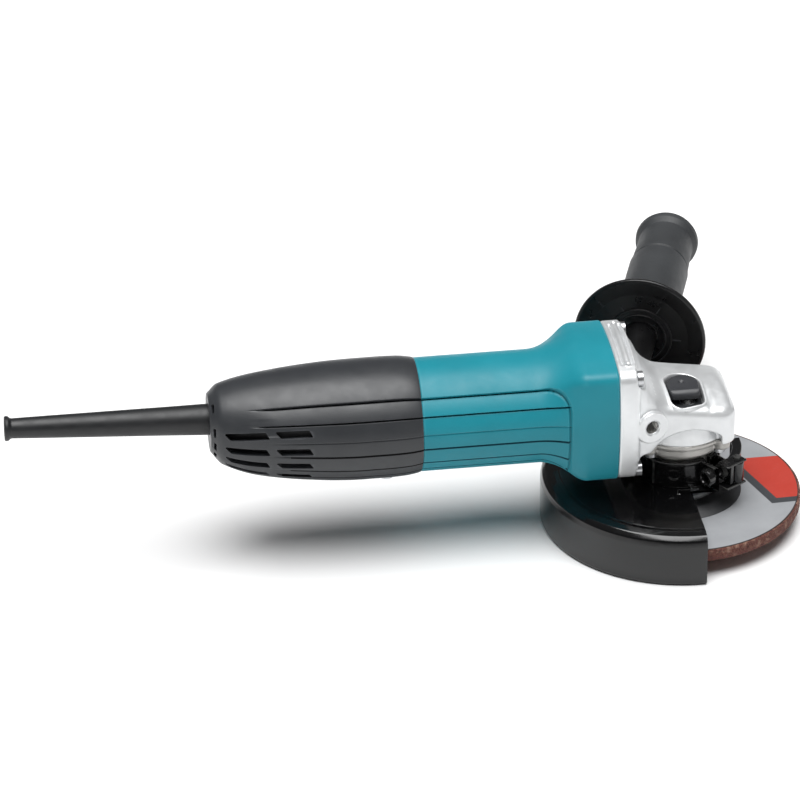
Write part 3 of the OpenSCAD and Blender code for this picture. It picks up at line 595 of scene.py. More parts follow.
def iso_surface(name, field, low, high, step):
    """Mesh of the zero surface of a field, by surface nets with a Newton polish."""
    axes = [np.arange(a - 1.5 * step, b + 1.6 * step, step) for a, b in zip(low, high)]
    origin = np.array([a[0] for a in axes])
    values = field(*np.meshgrid(*axes, indexing="ij"))
    inside = values < 0
    cells = tuple(s - 1 for s in values.shape)
    total, count = np.zeros(cells + (3,)), np.zeros(cells)
    faces = []
    quads = []
    for axis in range(3):
        one, two = (axis + 1) % 3, (axis + 2) % 3
        lower, upper = [slice(None)] * 3, [slice(None)] * 3
        lower[axis], upper[axis] = slice(0, -1), slice(1, None)
        a, b = values[tuple(lower)], values[tuple(upper)]
        crossing = (a < 0) != (b < 0)
        part = np.where(crossing, a / np.where(crossing, a - b, 1.0), 0.0)
        for da in (0, 1):
            for db in (0, 1):
                pick = [slice(None)] * 3
                pick[one] = slice(da, da + cells[one])
                pick[two] = slice(db, db + cells[two])
                here = crossing[tuple(pick)]
                total[..., axis] += part[tuple(pick)]
                total[..., one] += da * here
                total[..., two] += db * here
                count += here
        spots = np.argwhere(crossing)
        keep = ((spots[:, one] > 0) & (spots[:, two] > 0)
                & (spots[:, one] < cells[one]) & (spots[:, two] < cells[two]))
        quads.append((one, two, spots[keep], a[tuple(spots[keep].T)] < 0))
    used = count > 0
    index = np.full(cells, -1)
    index[used] = np.arange(used.sum())
    points = origin + (np.argwhere(used) + total[used] / count[used][:, None]) * step
    for one, two, spots, outward in quads:
        ring = []
        for da, db in ((1, 1), (0, 1), (0, 0), (1, 0)):
            cell = spots.copy()
            cell[:, one] -= da
            cell[:, two] -= db
            ring.append(index[tuple(cell.T)])
        quad = np.stack(ring, 1)
        quad[~outward] = quad[~outward][:, ::-1]
        faces.append(quad)
    h = 0.04
    for _ in range(3):
        value = field(*points.T)
        slope = np.stack([(field(*(points + h * e).T) - field(*(points - h * e).T)) / (2 * h)
                          for e in np.eye(3)], 1)
        move = value[:, None] * slope / np.maximum((slope**2).sum(1), 0.2)[:, None]
        size = np.maximum(np.linalg.norm(move, axis=1) / (0.6 * step), 1.0)
        points = points - move / size[:, None]
    return mesh_from(name, points, np.concatenate(faces))


# --- shared outlines ------------------------------------------------------------

COLLAR_CROWN = 0.004     # bow of each side of the collar, per mm


def collar_radius(angle, half, soft=4.0):
    """Radius of the collar's crowned square about the motor axis; its foot is a little shallower."""
    co, si = np.abs(np.cos(angle)), np.abs(np.sin(angle))

    def face(across, out, reach):
        a = COLLAR_CROWN * across**2
        root = np.sqrt(out**2 + 4 * a * reach)
        return np.where(a > 1e-6, (root - out) / (2 * np.maximum(a, 1e-6)), reach)

    ends = face(co, np.maximum(si, 0.02), half - 1.2 * (np.sin(angle) < 0))
    return soft_min(ends, face(si, np.maximum(co, 0.02), half), soft)


# Lines of the grip panel: degrees above the middle of a side, depth of the lap, depth of its groove
GRIP_LINES = [(46.0, 1.5, 0.9), (27.0, 1.05, 0.8), (8.0, 0.6, 0.2), (-8.0, 0.4, 0.5), (-28.0, 0.4, 0.5),
              (-43.0, 0.4, 0.5)]
FAINT_LINE = 8.0         # the line that gets no painted shadow
GRIP_FOOT = -52.0        # lower end of the last strip, degrees
GRIP_REST = 0.25         # depth left at the lower end of a strip
BARREL = 28.5            # outer radius of the barrel


def grip_depth(rise):
    """Depth of the lapped strips at an angle above the middle of a side, in degrees."""
    depth = np.zeros_like(rise)
    for i, (top, deep, groove) in enumerate(GRIP_LINES):
        last = i + 1 == len(GRIP_LINES)
        bottom = GRIP_FOOT if last else GRIP_LINES[i + 1][0]
        rest = 0.0 if last else GRIP_REST
        width = 1.2 if top == 27.0 else 0.35
        inside = step_up(-rise, -top - width / 2, -top + width / 2)
        inside = inside * step_up(rise, bottom - 0.3, bottom + 0.3)
        share = np.clip((top - rise) / (top - bottom), 0, 1)
        depth = np.maximum(depth, inside * (deep + (rest - deep) * share))
        depth = depth + groove * np.exp(-((rise - top + 1.0) / 0.65) ** 2)
    return depth


def paint_line_shadows(mesh, dark, start, rise=lambda x: 0.0):
    """Gives the faces at the bottom of each grip line a painted shadow, as a darker material, from the line's
    start station on.
    """
    mesh.materials.append(dark)
    for face in mesh.polygons:
        x, y, z = face.center / MM
        level = math.degrees(math.atan2(z - AXIS_Z - rise(x), abs(y)))
        outside = math.hypot(y, z - AXIS_Z) > 20
        for top, *_ in GRIP_LINES:
            reach = 0.62 if top > 0 else 1.25
            if outside and top != FAINT_LINE and abs(level - top + 1.0) < reach and start(x, top):
                face.material_index = 1


def side_angles():
    """Angles round the motor axis, closer together at the lines of the grip panel."""
    rises = set(np.round(np.arange(-90, 90.01, 1.5), 3))
    steps = np.array([-2.4, -2.0, -1.6, -1.3, -1.0, -0.7, -0.4, -0.2, 0.0, 0.2, 0.5, 1.0])
    for top, *_ in GRIP_LINES:
        rises.update(np.round(top + steps, 3))
    rises = np.array(sorted(rises))
    near = 180 - rises          # on the -Y side, measured from +Y through +Z
    far = rises
    return np.radians(np.unique(np.concatenate([far, near]) % 360))


def around_axis(x, radius, angle, rise=0.0):
    """Points round the motor axis; angle 0 is +Y and 90 degrees is up."""
    y = radius * np.cos(angle)
    z = AXIS_Z + rise + radius * np.sin(angle)
    return np.stack([np.broadcast_to(x, y.shape), y, z], -1)


# --- motor housing ----------------------------------------------------------------

def motor_shell():
    angle = side_angles()
    rise = np.degrees(np.arcsin(np.sin(angle)))
    stations = np.unique(np.round(np.concatenate([
        [SEAM, SEAM + 0.25, SEAM + 0.5, SEAM + 1.2], np.arange(-130, -78, 3.0), np.arange(-78, -54.0, 0.5),
        np.arange(-54, FLANGE_BACK - 0.9, 0.8), [-36.8, -36.4, -36.15, FLANGE_BACK]]), 3))
    rings = []
    for x in stations:
        collar = collar_radius(angle, 33.6)
        low_side = step_up(-np.sin(angle), 0.2, 0.8)
        start = -76.5 + 3.5 * low_side
        share = np.clip((x - start) / (-54.6 - start), 0, 1.4) ** (1.85 - 0.25 * low_side)
        share = soft_min(share, 1.0, 0.3)
        radius = BARREL + (collar - BARREL) * share
        # rounded panel edge, in distances along the barrel and round it
        reach = np.radians(rise) * BARREL
        corner = np.where(rise > 0, 13.0, 6.5)
        top, bottom = math.radians(46) * BARREL, math.radians(-50) * BARREL
        across = np.maximum(reach - top, bottom - reach)
        q = (x + 59.5 + corner, across + corner)
        edge = np.hypot(np.maximum(q[0], 0), np.maximum(q[1], 0)) + np.minimum(np.maximum(*q), 0) - corner
        radius = radius - grip_depth(rise) * step_up(-edge, -0.25, 0.35)
        radius = radius - 0.8 * np.exp(-((edge + 0.7) / 0.5) ** 2) * step_up(x, -74, -68)
        radius = radius - 0.35 * step_up(-x, 132.4, 133.0)
        radius = radius - 0.5 * step_up(x, -36.7, -36.0)
        rings.append(around_axis(x, radius, angle))
    inner = [(-36, 30.0), (-52.5, 30.0), (-53.5, 25.5), (-132, 25.5), (-132, 11.2), (-142, 11.2),
             (-142, 13.5), (-136, 13.5), (-136, 25.2), (-133, 25.2)]
    for x, radius in inner:
        rings.append(around_axis(x, np.full_like(angle, radius), angle))
    mesh = mesh_from("motor_shell", *loft(np.array(rings)))
    slot = prism("slot", rounded([(-105.5, -3.2), (-87, -3.2), (-87, 3.2), (-105.5, 3.2)]),
                 (0, 40, AXIS_Z), (1, 0, 0), (0, 0, 1), 18)
    rod_slot = prism("slot", rounded([(-138, -3.5), (-130, -3.5), (-130, 3.5), (-138, 3.5)]),
                     (0, 25.45, AXIS_Z), (1, 0, 0), (0, 0, 1), 1.95)
    mesh = combine(mesh, [slot, rod_slot])
    piece("motor_shell", mesh, "casing", "blue_housing", ["motor_housing"], crease=24)
    # painted shadow along the grip lines of the motor housing
    paint_line_shadows(mesh, MATERIALS["blue_groove_shadow"], lambda x, top: x < (-73.0 if top > 40 else -60.6))


# --- rear cover --------------------------------------------------------------------

COVER_RADIUS = [(-236.8, 14.6), (-232.2, 19.6), (-231.2, 20.2), (-221, 23.8), (-213.6, 25.5), (-200, 27.6),
                (-188, 28.9), (-175, 29.9), (-162, 30.3), (-150, 30.3), (-141, 30.0), (-134.2, 29.0), (-133, 28.6)]
COVER_RISE = [(-236.8, 4.3), (-231.7, 3.2), (-213.6, 1.4), (-188, 0.5), (-162, 0.0), (-133, 0.0)]


def side_ways(side, degrees):
    """Directions out of the barrel and round it, at an angle above the middle of a side."""
    c, s = math.cos(math.radians(degrees)), math.sin(math.radians(degrees))
    return np.array([0, side * c, s]), np.array([0, -side * s, c])


def rear_shell():
    angle = side_angles()
    rise = np.degrees(np.arcsin(np.sin(angle)))
    stations = np.unique(np.round(np.concatenate([
        [-236.8, -236.6, -236.2], np.arange(-235.6, -230, 0.8), np.arange(-230, -206, 0.9),
        np.arange(-206, -134.5, 2.4), [-134.2, -133.6, -133.2, SEAM]]), 3))
    rings = []
    for x in stations:
        radius = np.full_like(angle, float(curve_through(COVER_RADIUS, x)))
        # each line fades out at its own station
        starts = [step_up(x, -219, -203), step_up(x, -221, -204), step_up(x, -214, -192)]
        fade = np.select([rise > 34, rise > 16, rise > -18], starts, step_up(x, -213, -188))
        radius = radius - grip_depth(rise) * fade
        rings.append(around_axis(x, radius, angle, float(curve_through(COVER_RISE, x))))
    inner = [(-133, 25.5), (-185, 25.5), (-211, 22.5), (-229.5, 16.5), (-234.6, 11.5), (-234.8, 6.0)]
    for x, radius in inner:
        rings.append(around_axis(x, np.full_like(angle, radius), angle, 0.0))
    rings.append(around_axis(-236.8, np.full_like(angle, 6.0), angle, 4.3))
    mesh = mesh_from("rear_shell", *loft(np.array(rings)))
    axis = cord_axis()
    cuts = [turned("cut", rounded([(0.001, -4), (7.95, -4), (7.95, 12), (0.001, 12)]), TAIL, axis, 96),
            turned("cut", rounded([(0.001, -7.2), (10.3, -7.2), (10.3, -2.7), (0.001, -2.7)]), TAIL, axis, 96)]
    for side in (-1, 1):
        for degrees in (18.5, -1.0, -19.5, -40.0):
            out, up = side_ways(side, degrees)
            for low, high in ((-231.0, -208.6), (-206.4, -187.4)):
                outline = rounded([(low, 1.9, 0.6), (high - 2.0, 1.9, 0.9), (high, -1.9, 0.5),
                                   (low + 3.4, -1.9, 0.9)][::-1])
                origin = np.array([0, 0, AXIS_Z]) + (out * 11 if side < 0 else out * 36)
                cuts.append(prism("cut", outline, origin, (1, 0, 0), up, 25))
        for degrees in (55.0, 12.0, -15.0, -40.0):
            spoke, round_way = side_ways(side, degrees)
            out = np.array([-0.55, 0, 0]) + 0.83 * spoke
            out /= np.linalg.norm(out)
            slant = np.cross(out, round_way)
            start = np.array([-235.2, 0, AXIS_Z + 3.7]) + 16.9 * spoke
            outline = rounded([(-2.4, -0.9, 0.6), (2.4, -0.9, 0.6), (2.4, 0.9, 0.6), (-2.4, 0.9, 0.6)])
            cuts.append(prism("cut", outline, start + out * 6.5, round_way, -slant, 14))
    for side in (-1, 1):
        hole = rounded([(0.001, 0), (4.4, 0), (4.4, 25.2, 0.4), (2.1, 25.2), (2.1, 30), (0.001, 30)])
        cuts.append(turned("cut", hole, (-150, side * 12, 0), (0, 0, 1), 48))
    for cutter in cuts:
        mesh = combine(mesh, [cutter])
    piece("rear_shell", mesh, "casing", "charcoal_plastic", ["rear_cover"], crease=28)
    # painted shadow along the grip lines of the rear cover
    paint_line_shadows(mesh, MATERIALS["charcoal_groove_shadow"], lambda x, top: x > (-210 if top > 16 else -198),
                 lambda x: float(curve_through(COVER_RISE, x)))
    # dark liner just inside the cover behind the vents: a painted shadow sheet that keeps the slots dark
    liner_outline = [(24.9, -186), (21.9, -211), (15.9, -229), (14.4, -231.5), (13.8, -231.5), (15.3, -229),
              (21.3, -211), (24.3, -186)]
    mesh = turned("vent_shadow_liner", liner_outline, (0, 0, AXIS_Z), (1, 0, 0), 96)
    piece("vent_shadow_liner", mesh, "casing", "black_plastic")


def cord_axis():
    return (-math.cos(math.radians(CORD_TILT)), 0, math.sin(math.radians(CORD_TILT)))


def cord_sleeve():
    outline = rounded([(3.7, -6.5), (10, -6.5, 0.5), (10, -2.8, 0.5), (7.8, -2.8), (7.75, 1), (7.2, 18),
                       (6.65, 38), (6.15, 56), (5.55, 78), (5.0, 95.8, 1.5), (6.1, 97.1, 0.7),
                       (6.3, 98.2, 0.6), (5.9, 99, 0.4), (4.4, 99, 0.6), (3.7, 98)])
    mesh = turned("cord_sleeve", outline, TAIL, cord_axis(), 96)
    piece("cord_sleeve", mesh, "casing", "black_rubber", ["cord_guard"])


# --- gear head ------------------------------------------------------------------------

HEAD_TOP = [(-36, 79.5), (-28, 79.5), (-25.5, 78.6), (-22, 74.5), (-18.5, 67.6), (-15, 63.4), (-10, 60.4),
            (-4, 59.2), (4, 58.0), (12, 56.9), (20, 55.8), (26, 55.0)]
HEAD_WIDTH = [(-37, 27), (-29, 28.2), (-24, 29.8), (-20, 28.4), (-15, 26.7), (-8, 25.9), (4, 25.6),
              (16, 25.3), (22, 24.9), (26, 24.4)]
WELL = hull_outline([(1.0, -3.6, 8.4), (-4.2, -3.4, 4.2), (5.0, -16.6, 4.3), (-3.2, -19.4, 4.4)])


def head_height(x, y):
    return curve_through(HEAD_TOP, x) - 0.0058 * y**2


def housing_field(x, y, z):
    p = (x, y, z)
    up = z - AXIS_Z
    about = np.hypot(y, up)
    angle = np.arctan2(up, y)
    # flange, with a ridge between two grooves across its top
    half = collar_radius(angle, 33.4, soft=5.0)
    across = step_up(22.0 - np.abs(y), 0.0, 2.5) * (up > 0)
    ridge = 0.6 * np.exp(-((x + 30.2) / 1.3) ** 2)
    groove = 1.3 * np.exp(-((x + 32.7) / 0.8) ** 2) + 1.5 * np.exp(-((x + 27.9) / 0.8) ** 2)
    flange = (about - half - across * (ridge - groove)) * 0.97
    knob = np.sqrt((x + 30.2) ** 2 + (np.abs(y) - 21.0) ** 2 + (up - 31.6) ** 2) - 1.5
    flange = soft_min(flange, knob, 0.5)
    flange = soft_max(flange, np.maximum(FLANGE_BACK - x, x - FLANGE_FRONT), 1.6)
    # head: crowned top, flat sides, round front corners
    height = head_height(x, y)
    slope = (head_height(x + 0.1, y) - head_height(x - 0.1, y)) / 0.2
    top = (z - height) / np.sqrt(1 + slope**2)
    front = x - (24.9 - 0.8 * step_up(z, 50.2, 51.6))
    q = (np.abs(y) - curve_through(HEAD_WIDTH, x) + 7.0, front + 7.0)
    plan = np.hypot(np.maximum(q[0], 0), np.maximum(q[1], 0)) + np.minimum(np.maximum(*q), 0) - 7.0
    head = soft_max(soft_max(plan, top, 5.0), 33.9 - z, 0.6)
    head = np.maximum(head, -36.0 - x)
    # shallow dip beside the shaft lock, and a low swell in front of it
    head = head + 0.9 * np.exp(-((x - 11.8) / 1.6) ** 2 - ((y + 14) / 8.0) ** 2) * step_up(z, 50, 54)
    head = head - 0.5 * np.exp(-((x - 18.6) / 2.2) ** 2 - ((y - 0) / 9.0) ** 2) * step_up(z, 50, 54)
    body = soft_min(flange, head, 4.0)
    # arched relief in both sides, down to the wall of the gear chamber
    wall = np.hypot(x, y) - (25.2 - 1.6 * (z - 34) / 12)
    arch = np.hypot(x - 1.8, z - 16.6) - 27.0
    relief = soft_max(np.maximum(np.maximum(arch, -wall), 12 - np.abs(y)), x - 17.2, 1.5)
    body = soft_max(body, -relief, 0.8)
    # handle bosses
    for side in (-1, 1):
        lean = lean_axis(side)
        place = (BOSS[0], side * BOSS[1], BOSS[2])
        body = soft_min(body, rod(p, place, lean, 8.4, -14, 0, 0.4), 0.7)
        body = soft_max(body, -rod(p, place, lean, 9.6, 0, 9, 0.3), 0.4)
        body = np.maximum(body, -rod(p, place, lean, 3.4, -14, 1.5, 0.3))
        body = soft_max(body, -rod(p, place, lean, 4.1, -0.7, 1.5, 0.3), 0.4)
    # screw holes and their pockets
    spread = np.hypot(np.abs(y) - SCREW_SPREAD, np.abs(up) - SCREW_SPREAD)
    pocket = soft_max(spread - 4.9, -26.5 - x, 0.5)
    body = soft_max(body, -pocket, 1.2)
    body = np.maximum(body, -(spread - 2.1))
    # well of the shaft lock, with a raised rim
    outline = WELL(x, y)
    rim = np.hypot(outline - 0.8, np.maximum(np.abs(z - height) - 0.1, 0)) - 0.7
    body = soft_min(body, np.maximum(rim, -24.8 - y), 0.8)
    body = soft_max(body, -np.maximum(outline, 51.8 - z), 0.9)
    # gear chamber, pinion tunnel, seats and bores
    radius = np.hypot(x, y)
    chamber = soft_max(radius - 21.5, z - 48.2, 1.0)
    chamber = np.maximum(chamber, -np.maximum(radius - 7.4, 44.5 - z))
    body = np.maximum(body, -chamber)
    body = np.maximum(body, -np.maximum(radius - 6.0, np.maximum(44 - z, z - 49.6)))
    tunnel = np.maximum(about - (5.5 + 2.3 * np.clip((-13 - x) / 8, 0, 1)), np.maximum(-25 - x, x + 10.4))
    body = np.maximum(body, -tunnel)
    body = np.maximum(body, -np.maximum(about - 15, np.maximum(-37 - x, x + 23.9)))
    body = np.maximum(body, -np.maximum(about - 29, np.maximum(-37 - x, x + 34.4)))
    body = np.maximum(body, -np.maximum(np.hypot(x - 2, y + 11) - 2.35, np.maximum(44 - z, z - 53)))
    lug = np.hypot(np.abs(x) - LUG_SPREAD, np.abs(y) - LUG_SPREAD)
    body = soft_min(body, soft_max(lug - 2.6, np.maximum(34 - z, z - 41.0), 0.8), 0.6)
    return np.maximum(body, -np.maximum(lug - 1.6, z - 40.5))


def gear_head():
    step = 0.45
    mesh = iso_surface("gear_head", housing_field, (-36.5, -36, 15), (25.5, 36, 86), step)
    piece("gear_head", mesh, "casing", "cast_aluminium", ["gear_housing"], crease=50)
    # rolled thread in the open handle socket; its darker gear steel look is painted shade inside the socket
    lean = lean_axis(-1)
    section = [(3.55, -0.55), (3.55, 0.55), (3.02, 0.12), (3.02, -0.12)]
    start = np.array([BOSS[0], -BOSS[1], BOSS[2]]) - 12.9 * lean
    mesh = helix("socket_thread", start, lean, 8.975, 1.25, section, 360)
    piece("socket_thread", mesh, "casing", "cast_aluminium", look=MATERIALS["gear_steel"])


def box_field(x, y, z):
    p = (x, y, z)
    body = tube(p, 14.0, 25.2, 31.3, 33.9, 0.7)
    body = soft_min(body, tube(p, 14.0, 24.3, 26.8, 32.5, 0.9), 0.3)
    body = soft_min(body, tube(p, 14.0, 19.0, 9.0, 28.0, 0.5), 0.8)
    for side_x in (-1, 1):
        for side_y in (-1, 1):
            reach = np.hypot(x - side_x * 18.4, y - side_y * 17.0) - 4.6
            body = soft_min(body, soft_max(reach, np.maximum(28.4 - z, z - 33.9), 0.9), 1.0)
    radius = np.hypot(x, y)
    body = np.maximum(body, -np.maximum(radius - 17.5, 24.5 - z))
    body = np.maximum(body, -(radius - 14.5))
    lug = np.hypot(np.abs(x) - LUG_SPREAD, np.abs(y) - LUG_SPREAD)
    body = np.maximum(body, -(lug - 1.9))
    return np.maximum(body, -np.maximum(lug - 3.3, z - 28.4))


def bearing_neck():
    mesh = iso_surface("bearing_neck", box_field, (-25.8, -25.8, 8.8), (25.8, 25.8, 34.1), 0.5)
    piece("bearing_neck", mesh, "casing", "cast_aluminium", ["bearing_box"], 40, MATERIALS["turned_aluminium"])


BUTTON = hull_outline([(1.0, -3.6, 7.8), (-3.9, -3.8, 3.9), (5.2, -11.6, 3.2), (-3.9, -11.6, 3.2)])
BUTTON_TOP = [(-20, 54.4), (-14.9, 55.8), (-14.2, 57.6), (-12.8, 59.0), (-11.6, 59.5), (-10.4, 59.1),
              (-6, 58.9), (2, 59.3), (6, 59.2), (12, 58.4)]


def button_field(x, y, z):
    height = curve_through(BUTTON_TOP, y)
    slope = (curve_through(BUTTON_TOP, y + 0.1) - curve_through(BUTTON_TOP, y - 0.1)) / 0.2
    top = (z - height) / np.sqrt(1 + slope**2)
    body = soft_max(BUTTON(x, y), top, 1.2)
    body = soft_max(body, 55.2 - z, 0.4)
    dimple = np.sqrt((x - 0.2) ** 2 + (y + 3.2) ** 2 + (z - 60.2) ** 2) - 2.0
    body = soft_max(body, -dimple, 0.3)
    return np.maximum(body, -np.maximum(np.hypot(x - 2, y + 11) - 2.3, z - 57.25))


def shaft_lock():
    # spring round the lock pin
    turns, rise, mean, wire = 3.2, 2.5, 2.95, 0.33
    ring = np.linspace(0, 2 * math.pi, 10, endpoint=False)
    section = [(mean + wire * math.cos(a), wire * math.sin(a)) for a in ring]
    mesh = helix("lock_coil", (2, -11, 52.3), (0, 0, 1), turns, rise / turns, section, 89, math.pi / 2)
    coil = piece("lock_coil", mesh, "shaft_lock", "black_steel", ["lock_spring"])
    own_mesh(coil)
    mesh = iso_surface("lock_cap", button_field, (-8.2, -15.2, 55), (9.2, 4.6, 60), 0.22)
    piece("lock_cap", mesh, "shaft_lock", "button_plastic", ["lock_button"], crease=40)


# --- wheel and spindle --------------------------------------------------------------

def wheel():
    outline = rounded([(12.6, 0), (22.5, 0, 2), (26, -0.9, 3), (32, -4.4, 2), (62.1, -4.4, 0.2),
                       (62.5, -4.9, 0.3), (62.5, -9.9, 0.3), (62.1, -10.4, 0.2), (31, -10.4, 2), (25, -6.9, 3),
                       (22, -6, 2), (12.6, -6)])
    mesh = turned("wheel_disc", outline, steps=256)
    made = piece("wheel_disc", mesh, "spindle_unit", "abrasive", ["grinding_wheel"])
    mesh.materials.append(MATERIALS["wheel_centre"])
    for face in mesh.polygons:
        if face.center.xy.length < 32.35 * MM and face.normal.z > 0.3:
            face.material_index = 1
    label = rounded([(32.4, -4.1, 0.15), (32.4, -4.4), (61.5, -4.4), (61.5, -4.1, 0.15)])
    mesh = turned("wheel_print", label, steps=256)
    piece("wheel_print", mesh, "spindle_unit", "label_paper", ["wheel_label"])


# --- guard ------------------------------------------------------------------------------

def guard_shell():
    outline = rounded([(19.4, 8.1, 0.3), (19.4, 6.1, 0.3), (62.4, 6.1, 2), (65.5, 5.3, 1.5), (66.9, 3.6, 1.5),
                       (67.5, 1.2, 1.5), (67.5, -17.9, 0.9), (64.1, -17.9, 0.5), (64.1, -19.5, 0.5),
                       (69.49, -19.5, 1.8), (69.49, 2.4, 2.5), (68.7, 5.3, 2), (66.6, 7.3, 2),
                       (63.0, 8.1, 1.6), (60.6, 7.9, 0.5), (60.0, 8.1, 0.5)], 7)
    mesh = turned("guard_shell", outline, steps=320)
    keep = prism("cut", np.array([(-80.0, -80.0), (2.4, -80.0), (2.4, 80.0), (-80.0, 80.0)]), (0, 0, -30),
                 (1, 0, 0), (0, 1, 0), 50)
    mesh = combine(mesh, [keep], "INTERSECT")
    piece("guard_shell", mesh, "guard", "guard_paint", ["wheel_guard"], crease=30)


def band_field(x, y, z):
    p = (x, y, z)
    body = tube(p, 19.3, 21.5, 8.1, 22.7, 0.5)
    body = soft_min(body, tube(p, 19.3, 22.0, 20.9, 22.7, 0.6), 0.5)
    foot = np.maximum(tube(p, 19.3, 23.3, 6.1, 8.3, 0.4), 2.6 - x)
    body = soft_min(body, foot, 0.6)
    c = turn_about_z(p, CLAMP_TURN)
    for side in (-1, 1):
        low, high = (5.4, 7.6) if side > 0 else (-3.6, -1.6)
        ear = block(c, (19.8, low, 9.6 if side > 0 else 8.1), (33.0, high, 21.6), 0.6)
        body = soft_min(body, ear, 0.9)
    for low in (8.1, 20.7):
        body = soft_min(body, block(c, (27.0, 1.6, low), (34.3, 15.0, low + 1.1), 0.4), 0.5)
    body = soft_min(body, block(c, (22.0, -13.5, 8.1), (33.0, -1.8, 9.3), 0.4), 0.5)
    gap = np.maximum(np.abs(c[1]) - 1.6, np.maximum(17 - c[0], 8.15 - z))
    body = np.maximum(body, -gap)
    body = np.maximum(body, -(np.hypot(c[0] - CLAMP_SEAT[0], z - CLAMP_SEAT[1]) - 2.6 + 4 * (c[0] < 20)))
    body = np.maximum(body, -(np.hypot(c[0] - LEVER_PIN[0], c[1] - LEVER_PIN[1]) - 1.95))
    # short curved stop standing on the guard's plate
    away = np.degrees(np.arctan2(y, x))
    stop = np.maximum(tube(p, 27.4, 29.0, 6.5, 11.0, 0.5), np.maximum(-101 - away, away + 78) * 0.5)
    stop = soft_min(stop, block(p, (-7.0, -34.0, 6.5), (-5.2, -28.0, 10.6), 0.5), 0.6)
    body = soft_min(body, np.maximum(stop, 8.12 - z), 0.3)
    # pressed dimple at the left of the near side
    away = math.radians(-106)
    side_axis = (math.cos(away), math.sin(away), 0)
    dimple = rod(p, (0, 0, 15.6), side_axis, 2.6, 21.15, 30, 0.3)
    body = soft_max(body, -dimple, 0.5)
    return body


def clamp_parts():
    mesh = iso_surface("clamp_band", band_field, (-23.6, -27, 5.9), (31, 23.6, 22.9), 0.4)
    piece("clamp_band", mesh, "guard", "black_steel", ["guard_band"], crease=40)
    turn = math.radians(CLAMP_TURN)
    out = np.array([math.cos(turn), math.sin(turn), 0])
    side = np.array([-math.sin(turn), math.cos(turn), 0])
    seat = out * CLAMP_SEAT[0] + np.array([0, 0, CLAMP_SEAT[1]])
    head = rounded([(0.001, -3.4), (2.2, -3.4), (2.2, -5.4, 0.2), (2.9, -7.2, 0.5), (3.9, -7.2, 0.9),
                    (4.6, -6.3, 0.5), (4.6, -3.6, 0.3), (2.5, -3.6), (2.5, 7.6, 0.4), (0.001, 7.6)])
    piece("clamp_bolt", turned("clamp_bolt", head, seat, side, 72), "guard", "black_steel", ["clamp_screw"])

    def lever_field(x, y, z):
        c = turn_about_z((x, y, z), CLAMP_TURN)
        low, high = 9.3, 20.5
        radius, angle = np.hypot(c[0], c[1]), np.degrees(np.arctan2(c[1], c[0]))
        span = np.maximum(22 - angle, angle - 62) * 0.5

        def bar(inner, outer, bottom, top, limit):
            walls = np.maximum(inner - radius, radius - outer)
            flat = soft_max(walls, np.maximum(bottom - z, z - top), 0.5)
            return soft_max(flat, limit, 0.6)

        body = bar(30.0, 32.0, low, high, span)
        body = soft_min(body, bar(27.2, 32.0, low, low + 1.5, span), 0.6)
        body = soft_min(body, bar(27.2, 32.0, high - 1.5, high, span), 0.6)
        end = np.maximum(60 - angle, angle - 62) * 0.5
        body = soft_min(body, bar(27.2, 32.0, low, high, end), 0.6)
        from_pin = np.hypot(c[0] - LEVER_PIN[0], c[1] - LEVER_PIN[1])
        hub = soft_max(from_pin - 3.6, np.maximum(low - z, z - high), 0.6)
        body = soft_min(body, hub, 0.8)
        return np.maximum(body, -(from_pin - 1.95))

    mesh = iso_surface("lever_shell", lever_field, (12, -26, 9), (34, 12, 20.8), 0.32)
    piece("lever_shell", mesh, "clamp_lever", "black_steel", ["guard_lever"], crease=40)


# --- side handle ---------------------------------------------------------------------------

def side_handle():
    lean = lean_axis()
    outline = rounded([
        (3.9, 0.1), (8.2, 0.1, 0.4), (8.5, 6), (8.5, 33.2, 0.5), (12.2, 33.3, 0.6), (12.6, 31.7, 0.3),
        (13.0, 31.7), (13.05, 30.7, 0.2), (13.6, 30.7, 0.2), (13.65, 31.7), (16.0, 31.8), (16.05, 30.8, 0.2),
        (16.6, 30.8, 0.2), (16.65, 31.8), (25, 31.4, 4), (32.6, 29.9, 1.0), (34.0, 30.4, 0.8),
        (34.0, 32.4, 0.9), (32.0, 33.4, 1.2), (22, 35.6, 4), (16.4, 36.8, 2.0), (15.5, 39.4, 2), (15.7, 70),
        (15.7, 104.5, 0.5), (14.6, 104.9, 0.2), (14.6, 106.4, 0.2), (15.2, 106.9, 0.4), (14.7, 120, 3),
        (14.5, 133.4, 1.5), (16.5, 136.2, 1.2), (16.8, 139.2, 1.5), (15.6, 142.0, 2.0), (12.4, 143.5, 1.8),
        (4.0, 143.5), (3.0, 142.7, 0.3), (0.001, 142.7), (0.001, 61.0), (3.9, 61.0)], 5)
    mesh = turned("grip_shell", outline, BOSS, lean, 192)
    piece("grip_shell", mesh, "casing", "handle_plastic", ["handle_grip"], crease=32)
    u, v, w = basis(lean)
    mesh.materials.append(MATERIALS["grip_rubber"])
    for face in mesh.polygons:
        if (np.array(face.center) / MM - BOSS) @ w > 38.5:
            face.material_index = 1
    bar = rounded([(0, -0.25, 0.1), (4.4, -0.25, 0.1), (4.4, 0.25, 0.1), (0, 0.25, 0.1)])
    ticks = []
    for i in range(6):
        angle = math.radians(60 * i)
        spoke = math.cos(angle) * u + math.sin(angle) * v
        cross = np.cross(w, spoke)
        start = np.array(BOSS) + w * 31.2 + spoke * 16.9
        ticks.append(prism("tick", bar, start, spoke, cross, 1.0))
    piece("guard_disc_ticks", joined(ticks), "casing", "handle_plastic")


# --- switch slide --------------------------------------------------------------------------

